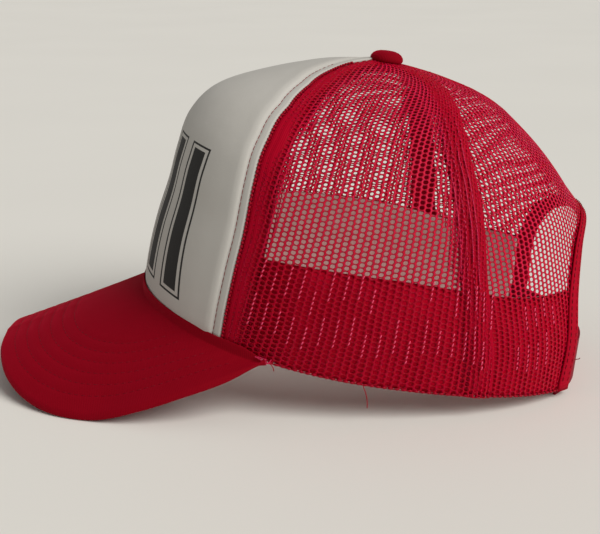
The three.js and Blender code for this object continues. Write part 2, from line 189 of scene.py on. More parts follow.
# %% Seam lines
SEAM_UP = [0.0, 0.15, 0.30, 0.45, 0.60, 0.70, 0.79, 0.87, 0.93, 1.0]
FOAM_SEAM = [0.890, 0.908, 0.922, 0.932, 0.952, 0.937, 0.840, 0.655, 0.480, 0.380]
SIDE_SEAM = [1.974, 1.962, 1.968, 1.990, 2.036, 2.100, 2.200, 2.380, 2.560, 2.700]


def seam_arc(seam, v):
    """Distance in mm from the front's middle to a seam."""
    return arc_at(v, np.interp(v, SEAM_UP, seam))


print("foam panel's width at the hem in mm:", round(float(2 * seam_arc(FOAM_SEAM, 0.0))))

# %% [markdown]
# ## From a flat mesh to a piece of the hat
# Each piece starts as a flat mesh made by bmesh operators, with x across, y up and z out
# of the cloth. One helper bends it over the dome and keeps its flat measures as a UV map,
# so that weaves and prints follow the cloth. A second helper turns it into an object.

# %% Helpers for pieces
FLAT_UNIT = 10.0           # one unit of the UV map is 10 mm of cloth


def drape(bm, place, with_map=True):
    """Moves each vertex to where place puts it, and keeps the cloth's measures as a UV map."""
    flat = np.array([vert.co for vert in bm.verts])
    spots, across, up = place(*flat.T)
    for vert, spot in zip(bm.verts, spots):
        vert.co = spot
    if not with_map:
        return
    bm.verts.index_update()
    layer = bm.loops.layers.uv.new("flat")
    cloth = np.stack([np.broadcast_to(across, len(flat)), np.broadcast_to(up, len(flat))], -1)
    cloth = (cloth / FLAT_UNIT).tolist()
    for face in bm.faces:
        for loop in face.loops:
            loop[layer].uv = cloth[loop.vert.index]


def add_object(name, data):
    """A new object in the scene, at the origin."""
    made = bpy.data.objects.new(name, data)
    bpy.context.scene.collection.objects.link(made)
    return made


def make_piece(bm, name, material, replaced=()):
    """Turns a bmesh into a smooth piece that rides on the hat, and prints its size."""
    bmesh.ops.recalc_face_normals(bm, faces=bm.faces)
    for face in bm.faces:
        face.smooth = True
    mesh = bpy.data.meshes.new(name)
    bm.to_mesh(mesh)
    bm.free()
    mesh.materials.append(material)
    piece = add_object(name, mesh)
    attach(piece, "root")
    if replaced:
        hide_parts(*replaced)
    mesh.calc_loop_triangles()
    print(f"{name}: {len(mesh.loop_triangles)} triangles")
    return piece


def flat_wall(across, up):
    """A flat closed wall: a grid from -1 to 1 both ways, with its inner face at z = -1."""
    bm = bmesh.new()
    bmesh.ops.create_grid(bm, x_segments=across, y_segments=up, size=1.0)
    bmesh.ops.solidify(bm, geom=bm.faces[:], thickness=1.0)
    top = max(vert.co.z for vert in bm.verts)
    bmesh.ops.translate(bm, verts=bm.verts, vec=(0, 0, -top))
    return bm


def mirrored(bm):
    """A copy of a left piece for the wearer's right."""
    twin = bm.copy()
    bmesh.ops.scale(twin, verts=twin.verts, vec=(-1, 1, 1))
    return twin


# %% [markdown]
# ## Materials
# Each finish is a small node tree, and all are built the same way. Patterns are scaled by
# the size of the real thing, with one unit to each thread, rib or grain. Sums join them,
# tones mix two colours by one of them, and reliefs raise the surface by one. Colours are
# written as sRGB hex values, and one function turns them into the linear values that
# Blender mixes with.

# %% Helpers for materials
ONE_WAVE = 0.314           # a Wave node of this scale draws one wave to each unit


def linear(colour):
    """An sRGB hex value such as 0xb01028 as a linear colour."""
    channels = [(colour >> shift & 255) / 255 for shift in (16, 8, 0)]
    return (*(c / 12.92 if c <= 0.04045 else ((c + 0.055) / 1.055) ** 2.4 for c in channels), 1.0)


def add_node(tree, kind, inputs=None, **settings):
    """Adds a node: settings are its options, inputs its sockets' numbers, colours or links."""
    made = tree.nodes.new(kind)
    for name, value in settings.items():
        setattr(made, name, value)
    for socket, value in (inputs or {}).items():
        if isinstance(value, bpy.types.NodeSocket):
            tree.links.new(value, made.inputs[socket])
        else:
            made.inputs[socket].default_value = value
    return made


def on_cloth(tree, size):
    """The flat map's position, with one unit to each thread or rib of size mm."""
    flat = add_node(tree, "ShaderNodeUVMap", uv_map="flat")
    sized = {"Vector": flat.outputs["UV"], "Scale": [FLAT_UNIT / size] * 3}
    return add_node(tree, "ShaderNodeMapping", sized).outputs["Vector"]


def on_object(tree, size):
    """The place on the object, with one unit to each size mm."""
    place = add_node(tree, "ShaderNodeTexCoord")
    sized = {"Vector": place.outputs["Object"], "Scale": [1 / (size * MM)] * 3}
    return add_node(tree, "ShaderNodeMapping", sized).outputs["Vector"]


def blotches(tree, size, detail, rough=0.5):
    """Soft blotches over the object, size mm wide."""
    inputs = {"Vector": on_object(tree, size), "Scale": 1.0, "Detail": detail, "Roughness": rough}
    return add_node(tree, "ShaderNodeTexNoise", inputs).outputs["Fac"]


def new_finish(name, patterns, tones, reliefs=(), sums=(), **values):
    """A material. The last tone is its colour, and values are the Principled shader's own."""
    material = bpy.data.materials.new(name)
    material.use_nodes = True
    tree = material.node_tree
    tree.nodes.clear()
    named = {key.replace("_", " ").title().replace("Ior", "IOR"): value for key, value in values.items()}
    shader = add_node(tree, "ShaderNodeBsdfPrincipled", named)
    add_node(tree, "ShaderNodeOutputMaterial", {"Surface": shader.outputs["BSDF"]})
    found = patterns(tree)
    for result, operation, *terms in sums:
        inputs = {k: found.get(term, term) for k, term in enumerate(terms)}
        found[result] = add_node(tree, "ShaderNodeMath", inputs, operation=operation).outputs[0]
    for result, share, *colours in tones:
        dark, light = (found[tone] if tone in found else linear(tone) for tone in colours)
        mixed = add_node(tree, "ShaderNodeMix", {0: found[share], 6: dark, 7: light}, data_type="RGBA")
        found[result] = mixed.outputs[2]
    tree.links.new(found[result], shader.inputs["Base Color"])
    for height, strength, distance in reliefs:
        inputs = {"Height": found[height], "Strength": strength, "Distance": distance * MM}
        if "relief" in found:
            inputs["Normal"] = found["relief"]
        found["relief"] = add_node(tree, "ShaderNodeBump", inputs).outputs["Normal"]
        tree.links.new(found["relief"], shader.inputs["Normal"])
    return material


# %% [markdown]
# ### White foam cloth with a plain print
# The front is brushed polyester tricot laminated to soft foam: matt white, a little warm,
# with a very fine knit. The print is screen ink. It could be an image, but five plain bars
# with an outline are simple sums on the cloth's own measures, so they stay sharp.

# %% Foam cloth
BAR_STEP = 21.5            # from one bar to the next
BAR_HALF_WIDTH = 4.6
BAR_MIDDLE = 58.5          # height of the bars' middle above the hem
BAR_HALF_HEIGHT = 42.0
OUTLINE_NEAR = 1.9         # white gap between a bar and its outline
OUTLINE_FAR = 3.1
PRINT_REACH = 52.0         # the print ends this far from the front's middle
PRINT_FAN = 0.0014         # the bars fan out towards the peak, per mm of height
BAR_SUMS = [               # a result's name, its sum and its terms; the print is 1 on the ink
    ("rise", "SUBTRACT", "up", BAR_MIDDLE),
    ("wider", "MULTIPLY", "rise", PRINT_FAN),
    ("fan", "ADD", "wider", 1.0),
    ("aside", "ABSOLUTE", "round"),
    ("across", "MULTIPLY", "aside", "fan"),
    ("folded", "PINGPONG", "across", BAR_STEP / 2),
    ("beside", "SUBTRACT", "folded", BAR_HALF_WIDTH),
    ("off_middle", "ABSOLUTE", "rise"),
    ("above", "SUBTRACT", "off_middle", BAR_HALF_HEIGHT),
    ("off_bar", "MAXIMUM", "beside", "above"),
    ("bar", "LESS_THAN", "off_bar", 0.0),
    ("past_gap", "GREATER_THAN", "off_bar", OUTLINE_NEAR),
    ("in_outline", "LESS_THAN", "off_bar", OUTLINE_FAR),
    ("outline", "MULTIPLY", "past_gap", "in_outline"),
    ("ink", "ADD", "bar", "outline"),
    ("in_reach", "LESS_THAN", "across", PRINT_REACH),
    ("print", "MULTIPLY", "ink", "in_reach"),
]
TRICOT_STITCH = 0.45       # the knit's stitches, drawn a little coarser than they are, to show
FOAM_CLOUD, FOAM_DENTS = 22.0, 9.0      # sizes of the cloth's soft tones and shallow dents


def foam_patterns(tree):
    """The cloth's own measures for the print, with its knit, tones and dents."""
    split = add_node(tree, "ShaderNodeSeparateXYZ", {0: on_cloth(tree, 1.0)})
    knit = add_node(tree, "ShaderNodeTexVoronoi", {"Vector": on_cloth(tree, TRICOT_STITCH), "Scale": 1.0})
    return {"round": split.outputs["X"], "up": split.outputs["Y"], "knit": knit.outputs["Distance"],
            "cloud": blotches(tree, FOAM_CLOUD, 4.0), "dents": blotches(tree, FOAM_DENTS, 3.0)}


# Brushed and laminated, so it is soft and matt: broad shading and no sharp highlight.
FOAM_CLOTH = new_finish(
    "laminated_polyester_tricot", foam_patterns, sums=BAR_SUMS,
    tones=[("white", "cloud", 0xB5B2AC, 0xC0BDB8), ("printed", "print", "white", 0x1C1B1A)],
    reliefs=[("knit", 0.25, 0.12), ("dents", 0.3, 0.5)],
    roughness=0.8, ior=1.5, specular_ior_level=0.3, sheen_weight=0.08)

# %% [markdown]
# ### Knitted net
# The net is knitted from polyester yarn and heat set, so its strands are smooth and a
# little glossy. The strands are real geometry. The material reads two attributes that the
# net carries: one paints a highlight on a strand's crest, and the other paints shade on the
# yarn where a band or tape behind it keeps the light out. There even the thin cross threads
# look lighter than the shaded holes, so the painted crest highlight counts for more.

# %% Net material
BACKED_CREST = 2.2         # the painted crest highlight counts this much more in front of a band or tape
NET_CLOUD, YARN_FIBRE = 5.0, 0.25       # sizes of the net's tones and of the yarn's fibres
YARN_GLOW = 1.2            # red light gets this far into the yarn, in mm


def net_patterns(tree):
    """The net's two attributes, with the yarn's tones and fibres."""
    crest, clear = (add_node(tree, "ShaderNodeAttribute", attribute_name=name).outputs["Fac"]
                    for name in ("crest", "clear"))
    return {"crest": crest, "clear": clear,
            "cloud": blotches(tree, NET_CLOUD, 3.0), "fibre": blotches(tree, YARN_FIBRE, 2.0)}


# Heat-set polyester: a saturated red that glows a little where light is behind it. The crest
# tone is a painted highlight, and the darker tones in front of a band or tape are painted shade.
NET = new_finish(
    "heat_set_polyester_net", net_patterns, sums=[("raised", "MULTIPLY", "crest", BACKED_CREST)],
    tones=[("patchy", "cloud", 0xC8062E, 0xE42250), ("free", "crest", 0x8C0020, "patchy"),
           ("painted_shade_yarn", "raised", 0x840014, 0xAA0024), ("yarn", "clear", "painted_shade_yarn", "free")],
    reliefs=[("fibre", 0.35, 0.12)],
    roughness=0.5, ior=1.5, specular_ior_level=0.08, subsurface_weight=0.9,
    subsurface_radius=(1.0, 0.25, 0.3), subsurface_scale=YARN_GLOW * MM)

# %% [markdown]
# ### Woven cloths
# The peak is a close twill, the sweatband a plain weave with a terry lining, and the tapes
# are ribbed. They share one recipe: two colours, a weave drawn as ridges, and a noise for
# wear. The thread's size, the ridge's slant and depth, the gloss and the sheen differ.

# %% Woven cloths
FIBRE_SHEEN = 0xC00830     # loose fibres glow red where we look along the cloth
WEAVE_SHARE, WEAR_SHARE = 0.35, 0.65    # how much of the tone comes from the weave, and from wear
CLOTH_CLOUD, CLOTH_FUZZ = 14.0, 0.5     # sizes of the worn tones and of the fuzz


def woven_cloth(name, dark, light, thread, slant, depth, roughness, sheen):
    """Woven cloth: ridges one thread apart that slant by an angle, over a soft cloudy tone."""
    def patterns(tree):
        turned = add_node(tree, "ShaderNodeMapping",
                          {"Vector": on_cloth(tree, thread), "Rotation": (0, 0, slant)})
        ridge = add_node(tree, "ShaderNodeTexWave", {"Vector": turned.outputs["Vector"], "Scale": ONE_WAVE,
                         "Distortion": 1.2, "Detail": 2.0}, wave_type="BANDS", bands_direction="X")
        return {"ridge": ridge.outputs["Fac"], "cloud": blotches(tree, CLOTH_CLOUD, 5.0, 0.6),
                "fuzz": blotches(tree, CLOTH_FUZZ, 3.0)}

    return new_finish(
        name, patterns, tones=[("cloth", "both", dark, light)],
        sums=[("weave", "MULTIPLY", "ridge", WEAVE_SHARE), ("wear", "MULTIPLY", "cloud", WEAR_SHARE),
              ("both", "ADD", "weave", "wear")],
        reliefs=[("ridge", 0.5, depth), ("fuzz", 0.25, depth)],
        roughness=roughness, ior=1.5, specular_ior_level=0.06, sheen_weight=sheen,
        sheen_tint=linear(FIBRE_SHEEN))


# Woven in slanting ridges and a little fuzzy: matt, and it glows red at a low angle.
TWILL = woven_cloth("polyester_twill", 0x76000D, 0x860016, 0.7, 0.9, 0.10, 0.8, 0.8)
# Woven plain from soft cotton: quite matt, with an even grain.
BAND_CLOTH = woven_cloth("plain_weave_cotton", 0x9E0018, 0xB40024, 0.6, 0.0, 0.12, 0.9, 0.03)
# Looped and unbleached: pale and the mattest, with the coarsest grain.
TERRY = woven_cloth("unbleached_cotton_terry", 0xF0D0CA, 0xFADFDA, 1.1, 0.0, 0.25, 0.95, 0.05)
# Woven narrow with ribs and ironed flat: a little smoother than the other cloths.
TAPE_CLOTH = woven_cloth("ribbed_binding_tape", 0x980018, 0xAE0026, 0.8, 0.0, 0.12, 0.75, 0.03)

# %% [markdown]
# ### Thread and plastic
# Sewing thread is twisted from fine plies, which we draw as slanted stripes on its own
# scale. The net's looped yarn takes the same recipe in a darker red, and painted highlights
# for glints on ribs and folds take it in lighter reds. The strap is moulded polyethylene. It
# has no pattern at all, only a faint grain and a little depth, so a weak noise and some
# light under the surface are enough.

# %% Threads and moulded strap
PLY = 0.5                  # a thread's plies, drawn coarser than they are, to show
STRAP_CLOUD, STRAP_GRAIN = 12.0, 0.7    # sizes of the plastic's tones and of its grain


def sewing_thread(name, dark, light):
    """Twisted polyester: tiny slanted plies with a faint gloss."""
    def patterns(tree):
        ply = add_node(tree, "ShaderNodeTexWave", {"Vector": on_object(tree, PLY), "Scale": ONE_WAVE},
                       bands_direction="DIAGONAL")
        return {"ply": ply.outputs["Fac"]}

    return new_finish(name, patterns, tones=[("thread", "ply", dark, light)],
                      reliefs=[("ply", 0.4, 0.08)], roughness=0.5, ior=1.5, specular_ior_level=0.12)


def strap_patterns(tree):
    """The plastic's faint tones and its grain."""
    return {"cloud": blotches(tree, STRAP_CLOUD, 2.0), "grain": blotches(tree, STRAP_GRAIN, 2.0)}


RED_THREAD = sewing_thread("red_polyester_thread", 0x6C0414, 0x86081E)
PEAK_THREAD = sewing_thread("dull_polyester_thread", 0x6E0010, 0x80001A)
# Painted highlight: glints on the ribs that lie on the band.
GLINT_YARN = sewing_thread("painted_glint_yarn", 0xD83058, 0xF06084)
# Painted highlight: glints along the folds, in a red that the tuft's yarn shares.
FOLD_GLINT_AND_TUFT_YARN = sewing_thread("fold_glint_and_tuft_yarn", 0xB41840, 0xCC3058)
LOOPED_YARN = sewing_thread("looped_net_yarn", 0x840016, 0xA00024)
# Injection moulded: smooth, waxy and slightly clear.
STRAP_PLASTIC = new_finish(
    "moulded_polyethylene", strap_patterns, tones=[("plastic", "cloud", 0x78021A, 0x840622)],
    reliefs=[("grain", 0.12, 0.1)], roughness=0.55, ior=1.51, specular_ior_level=0.06,
    subsurface_weight=0.05)

# %% [markdown]
# ## Foam front
# The front panel is cloth glued to about 3 mm of foam. A row of stitches presses it flat
# near each seam, and the foam swells up just inside that row. We model the wall as one
# grid with more columns near the seams, and a small table says how the surface rises.

# %% Foam cover
SEAM_GAP = 0.15            # half the gap between two panels
EDGE_COLUMNS = 0.2         # share of the grid's half width that is spent near a seam
EDGE_RUN = 10.0            # and the distance that it covers,
EDGE_MOST = 0.45           # or this share of the half width where the panel is narrow
STITCH_IN = 3.9            # the stitches lie this far from the seam
FOAM_RISE = {              # distance from the seam, and height off the dome
    "from_seam": [0.0, 0.5, 3.2, 3.9, 4.5, 5.6, 7.5, 12.0, 30.0],
    "out": [-0.35, 0.35, 0.30, -0.30, 0.65, 1.30, 1.60, 1.40, 1.30],
}
FOAM_THICK, FOAM_EDGE_THICK, FOAM_PUFF = 3.0, 1.2, 1.3
FOOT_RUN, HEAD_RUN, FILL_RUN = 9, 40, 6         # it swells over these distances from its edges


def foam_place(x, y, z):
    """The foam front: x is the share across, y the share up, z 0 outside and -1 inside."""
    v = (y + 1) / 2 * CROWN_TOP
    edge = seam_arc(FOAM_SEAM, v) - SEAM_GAP
    run = np.minimum(EDGE_RUN, EDGE_MOST * edge)
    wide = 1 - EDGE_COLUMNS
    near = (1 - np.abs(x)) / EDGE_COLUMNS * run
    far = run + (wide - np.abs(x)) / wide * (edge - run)
    from_seam = np.where(np.abs(x) > wide, near, far)
    arc = np.sign(x) * (edge - from_seam)
    foot = np.minimum(v * CROWN_LENGTH / FOOT_RUN, 1)
    head = np.minimum((1 - v) * CROWN_LENGTH / HEAD_RUN, 1)
    ends = np.sin(np.minimum(foot, head) * math.pi / 2)
    rise = np.interp(from_seam, FOAM_RISE["from_seam"], FOAM_RISE["out"]) * ends
    full = np.minimum(np.sin(np.minimum(from_seam / FILL_RUN, 1) * math.pi / 2), ends)
    inside = FOAM_PUFF * full - FOAM_EDGE_THICK - (FOAM_THICK - FOAM_EDGE_THICK) * full
    spots = off_crown(v, angle_at(v, arc), np.where(z < -0.5, inside, rise))
    return spots, arc, v * CROWN_LENGTH


bm = flat_wall(across=150, up=120)
drape(bm, foam_place)
foam = make_piece(bm, "foam_cover", FOAM_CLOTH, ["foam_front"])

# %% [markdown]
# ## Stitches
# One stitch is a short thread that dips at both ends, so a small stretched sphere of a few
# dozen faces will do. There are hundreds. Setting them one by one is slow, so we lay a flat
# row by doubling it again and again, and then bend the whole row onto its seam.

# %% Stitch helpers
def copies(bm, faces, count, step):
    """Sets count copies of some faces in a row, the first where they are."""
    rows = list(faces)
    for k in range(1, count):
        made = bmesh.ops.duplicate(bm, geom=faces)["geom"]
        corners = [item for item in made if isinstance(item, bmesh.types.BMVert)]
        bmesh.ops.translate(bm, verts=corners, vec=Vector(step) * k)
        rows += [item for item in made if isinstance(item, bmesh.types.BMFace)]
    return rows


def stitch_row(length, step, size, turn):
    """A flat row of stitches, step mm apart along x, as long as a seam."""
    bm = bmesh.new()
    shape = Matrix.Rotation(turn, 4, "Z") @ Matrix.Diagonal((*size, 1.0))
    bmesh.ops.create_uvsphere(bm, u_segments=6, v_segments=4, radius=0.5, matrix=shape)
    reach = step
    while reach < length:
        copies(bm, bm.faces[:], 2, (reach, 0, 0))
        reach *= 2
    bmesh.ops.translate(bm, verts=bm.verts, vec=(step / 2, 0, 0))
    spare = [vert for vert in bm.verts if vert.co.x > int(length / step) * step]
    bmesh.ops.delete(bm, geom=spare, context="VERTS")
    return bm


def along(run, values, at):
    """Reads a list of vectors at some distances along a line."""
    return np.stack([np.interp(at, run, values[:, k]) for k in range(3)], -1)


def unit(vectors):
    """The same directions with a length of one."""
    return vectors / np.linalg.norm(vectors, axis=-1, keepdims=True)


def sew(bm, points, outward, step, size, turn=0.0):
    """Sews a row along a line of points; size is along, across and out of the cloth in mm."""
    run = np.concatenate([[0], np.cumsum(np.linalg.norm(np.diff(points, axis=0), axis=1))]) / MM
    row = stitch_row(run[-1], step, size, turn)
    x, y, z = np.array([vert.co for vert in row.verts]).T
    way = unit(along(run, points, x + 0.5) - along(run, points, x - 0.5))
    side = unit(np.cross(along(run, outward, x), way))
    spots = along(run, points, x) + (side * y[:, None] + np.cross(way, side) * z[:, None]) * MM
    for vert, spot in zip(row.verts, spots):
        vert.co = spot
    mesh = bpy.data.meshes.new("row")
    row.to_mesh(mesh)
    row.free()
    bm.from_mesh(mesh)
    bpy.data.meshes.remove(mesh)


def crown_line(v, arc, out):
    """A line on the dome and the outward direction along it."""
    points = off_crown(v, angle_at(v, arc), out)
    return points, (off_crown(v, angle_at(v, arc), np.asarray(out) + 1.0) - points) / MM


# %% [markdown]
# The foam's own row lies in the groove that the foam table leaves near each seam. The
# thread is a dark red, so on the white cloth it reads as one thin line.

# %% Topstitching on the foam
FOAM_STITCH = {"step": 2.6, "size": (2.7, 0.32, 0.45)}
FOAM_STITCH_TOP = 0.90     # the rows end at this share of the height
FOAM_STITCH_OUT = -0.05    # the thread's middle lies just under the dome, in the groove
bm = bmesh.new()
heights = np.linspace(0.0, FOAM_STITCH_TOP, 160)
for side in (-1, 1):
    arcs = seam_arc(FOAM_SEAM, heights) - SEAM_GAP - STITCH_IN
    sew(bm, *crown_line(heights, side * np.maximum(arcs, 1.0), FOAM_STITCH_OUT), **FOAM_STITCH)
make_piece(bm, "foam_topstitching", RED_THREAD)

# %% [markdown]
# ## The net
# Trucker net is a warp knit: thick upright ribs zigzag between columns of round holes,
# and thin threads cross from rib to rib. A bitmap would flicker at this scale, so we make
# real holes. One cell is an eight-sided face. Copies of it tile the flat panel, the seams
# trim them, an inset opens each hole, and a wall gives the strands their thickness.

# %% Net lattice
COLUMN_STEP = 2.6          # from one column of holes to the next
ROW_STEP = 2.1             # from one hole to the next in a column
CELL_SIDE = 1.5            # the cell's half width at its middle
CELL_CORNER = COLUMN_STEP - CELL_SIDE
HOLE_SIDE = (0.67, 0.67)   # the hole's share of the cell at its sides, across and up
HOLE_CORNER = (0.63, 0.65)
HOLE_END = (0.0, 0.82)
STRAND = 0.26              # thickness of the net at a hole's edge
CREST = 0.22               # a rib's crest stands this much higher
THREAD_CREST = 0.35        # share of that on the thin cross threads
LATTICE_DROP = 0.03        # share of the field's height that hangs below the hem
INSET = 0.02               # an inset this thin opens a cell before its hole is shaped
NEAR_MIDDLE, NEAR_SIDE = 0.3, 0.85      # shares of a cell's half width that tell its corners apart


def lattice(width, height, turn):
    """A flat field of net cells round x = 0, from just under y = 0 up, turned by an angle."""
    bm = bmesh.new()
    bmesh.ops.create_circle(bm, cap_ends=True, segments=8, radius=1.0)
    for vert in bm.verts:
        x, y = round(vert.co.x, 3), round(vert.co.y, 3)
        half = CELL_SIDE if y == 0 else CELL_CORNER
        vert.co.x = math.copysign(half, x) if x else 0.0
        vert.co.y = math.copysign(ROW_STEP / 2, y) if y else 0.0
    cells = copies(bm, bm.faces[:], int(height / ROW_STEP), (0, ROW_STEP, 0))
    copies(bm, cells, 2, (COLUMN_STEP, ROW_STEP / 2, 0))
    copies(bm, bm.faces[:], int(width / COLUMN_STEP / 2), (2 * COLUMN_STEP, 0, 0))
    bmesh.ops.remove_doubles(bm, verts=bm.verts, dist=0.05)
    bmesh.ops.translate(bm, verts=bm.verts, vec=(-width / 2, -height * LATTICE_DROP, 0))
    bmesh.ops.rotate(bm, verts=bm.verts, cent=(0, height / 3, 0), matrix=Matrix.Rotation(turn, 3, "Z"))
    return bm


def open_holes(bm):
    """Insets every cell, shapes its inner face into a round hole and removes it."""
    # The crest share lifts the ribs, and the net's colour paints a highlight with it: lighter on the
    # crests, painted shade at the holes' edges.
    crest = bm.verts.layers.float.new("crest")
    for vert in bm.verts:
        vert[crest] = THREAD_CREST if len(vert.link_edges) == 2 else 1.0
    cells = bm.faces[:]
    bmesh.ops.inset_individual(bm, faces=cells, thickness=INSET)
    for cell in cells:
        middle = cell.calc_center_bounds()
        half = max(abs(vert.co.x - middle.x) for vert in cell.verts)
        for vert in cell.verts:
            vert[crest] = 0.0
            off = vert.co - middle
            share = HOLE_CORNER
            if abs(off.x) < NEAR_MIDDLE * half:
                share = HOLE_END
            elif abs(off.x) > NEAR_SIDE * half:
                share = HOLE_SIDE
            vert.co = middle + Vector((off.x * share[0], off.y * share[1], 0))
    bmesh.ops.delete(bm, geom=cells, context="FACES_ONLY")
    return crest


# %% [markdown]
# Tapes cover the seams inside and a band lines the hem. The net's colour gets painted shade
# in front of them, so their widths and the band's top edge come before it. So does the back
# opening, which is a squared arch.

# %% What lies behind the net
FRONT_TAPE = {             # distance from the seam, depth of the face there, share kept at the top
    "across": [-3.5, -0.5, 0.8, 6.0, 9.0, 10.5],
    "face": [-2.0, -2.0, -0.35, -0.35, -1.1, -1.1],
    "kept": 0.9,
}
SIDE_TAPE = {"across": [-11.0, -8.5, 0.8], "face": [-1.1, -0.35, -0.35], "kept": 0.9}
BACK_TAPE = {"across": [-5.5, -4.0, 4.0, 5.5], "face": [-1.1, -0.35, -0.35, -1.1], "kept": 0.9}
BINDING_WIDTH = 5.5
OPENING_HALF_WIDTH, OPENING_TOP, OPENING_SQUARE = 50.0, 0.40, 2.5
OPENING_FROM = 0.6         # it lies past this share of the way round
FAR_OFF = 9.0              # a share that is surely outside it
BAND_FRONT, BAND_FRONT_RISE = 0.205, 0.085      # the band's top in front, and its rise to the side
BAND_BACK, BAND_BACK_RISE = 0.237, 0.053        # and the same from the back
BAND_HIGH, BAND_FALL = 1.35, 0.95       # it is highest at this angle, and falls over the other
SHADE_RUN = 1.5            # the net's painted shade fades out over this distance past an edge
foam_edge = seam_arc(FOAM_SEAM, GRID_V)
side_edge = seam_arc(SIDE_SEAM, GRID_V)


def opening_share(v, arc):
    """Below 1 inside the back opening, 1 on its edge."""
    wide = np.abs(crown(v, angle_at(v, arc))[..., 0]) / OPENING_HALF_WIDTH
    behind = np.asarray(arc) > OPENING_FROM * half_round(v)
    share = (wide**OPENING_SQUARE + (v / OPENING_TOP) ** OPENING_SQUARE) ** (1 / OPENING_SQUARE)
    return np.where(behind, share, FAR_OFF)


def band_top(phi):
    """The band's top, as a share of the way up the crown."""
    turn = np.abs(phi)
    front = BAND_FRONT + BAND_FRONT_RISE * np.sin(math.pi / 2 * turn / BAND_HIGH) ** 2
    fall = np.minimum((turn - BAND_HIGH) / BAND_FALL, 1)
    back = BAND_BACK + BAND_BACK_RISE * np.cos(math.pi / 2 * fall) ** 2
    return np.where(turn < BAND_HIGH, front, back)


def from_seams(v, arc):
    """Distances in mm behind the foam's seam and in front of the side seam."""
    return arc - np.interp(v, GRID_V, foam_edge), np.interp(v, GRID_V, side_edge) - arc


def clear_behind(v, arc):
    """0 where a tape or the band lies behind the net, and 1 where nothing does; the net's painted shade
    follows it.
    """
    from_foam, to_side = from_seams(v, arc)
    over_band = (v - band_top(angle_at(v, arc))) * CROWN_LENGTH
    over_opening = (opening_share(v, arc) - 1) * OPENING_HALF_WIDTH - BINDING_WIDTH
    beside = np.where(to_side > 0, to_side + SIDE_TAPE["across"][1], -to_side)
    middle = half_round(v) - arc - BACK_TAPE["across"][2]
    behind_foam = from_foam - FRONT_TAPE["across"][-2]
    nearest = np.minimum.reduce([behind_foam, over_band, over_opening, beside, middle])
    return np.clip(nearest / SHADE_RUN, 0, 1)


# %% [markdown]
# A net panel has a reference line, its middle meridian, and the flat cells are measured
# from it: x mm round the hat and y mm up. The same functions take a place on the hat back
# to the flat cloth, which is how cells learn where the seams and the back opening are.

# %% Net panels on the hat
SMALLEST_SHARE = 0.05      # so that a place at the opening's middle isn't divided by nothing


def net_panel(reference):
    """A panel's reference line: its distance round the hat and its length, for each height."""
    line = crown(GRID_V, angle_at(GRID_V, reference))
    rise = np.concatenate([[0], np.cumsum(np.linalg.norm(np.diff(line, axis=0), axis=1))])
    return {"reference": reference, "rise": rise}


def to_hat(panel, x, y):
    """From the flat cloth to a height share and a distance round the hat."""
    v = np.interp(y, panel["rise"], GRID_V)
    return v, np.interp(v, GRID_V, panel["reference"]) + x


def to_cloth(panel, v, arc):
    """From the hat back to the flat cloth."""
    return arc - np.interp(v, GRID_V, panel["reference"]), np.interp(v, GRID_V, panel["rise"])


def keep_off_opening(v, arc):
    """Moves places inside the back opening straight out to its edge."""
    share = opening_share(v, arc)
    inside = share < 1
    growth = np.maximum(share, SMALLEST_SHARE)
    grown = np.where(inside, np.minimum(v / growth, OPENING_TOP), v)
    wide = np.abs(crown(v, angle_at(v, arc))[..., 0]) / growth
    return grown, np.where(inside, arc_at(grown, math.pi - turn_at(grown, wide)), arc)


SIDE_PANEL = net_panel((foam_edge + side_edge) / 2)
BACK_PANEL = net_panel((side_edge + HALF_ROUND) / 2)
SIDE_PANEL["ends"] = (foam_edge + SEAM_GAP, side_edge - SEAM_GAP)
BACK_PANEL["ends"] = (side_edge + SEAM_GAP, HALF_ROUND - SEAM_GAP)
print("side panel's height in mm:", round(float(SIDE_PANEL["rise"][-1])))

# %% [markdown]
# Near the side seam the net is gathered, so its ribs crowd together and stand up in
# folds. The cloth there is wider than the space it fills. A short table squeezes it, and
# a row of soft ridges lifts it off the dome. Near the foam the net was cut on a slant, so
# its columns lean towards the back, and we turn them a little more the nearer they are.

# %% Gathers at the side seam
GATHER = {                 # distance from the side seam on the hat, and on the flat cloth
    "on_hat": [-5.0, 0.0, 11.0, 16.0, 400.0],
    "on_cloth": [-5.0, 0.0, 18.0, 24.0, 408.0],
}
GATHER_RISE = 0.9          # the gathered strip rolls up by this much
FOLD_RISE = 0.6            # and each fold stands a little higher
FOLD_STEP = 2.4
SAG = 0.5                  # slow waves in the rest of the net
GATHER_MIDDLE, GATHER_HALF = 5.5, 7.0   # the strip's middle from the side seam, and half its width
GATHER_ROUND = 0.7         # under 1, so that it rises fast at its edges and is even inside
GATHER_TOP = 0.3           # it fades out over this share of the crown under the button
CALM_FOOT, CALM_RUN, CALM_TOP, CALM_SEAM = 0.14, 0.2, 0.15, 14      # the waves fade near the edges
LEAN = {                   # place across the side panel, and the slope of its columns there
    "across": [-75.0, -45.0, 0.0, 30.0, 60.0],
    "slope": [0.30, 0.25, 0.14, 0.07, 0.0],
}
LEAN_MIDDLE = 75.0         # the columns turn about this height


def gather_share(v, arc):
    """1 along the gathered strip and 0 away from it."""
    _, to_side = from_seams(v, arc)
    across = np.clip(1 - np.abs(to_side - GATHER_MIDDLE) / GATHER_HALF, 0, 1) ** GATHER_ROUND
    return across * np.clip((1 - v) / GATHER_TOP, 0, 1)


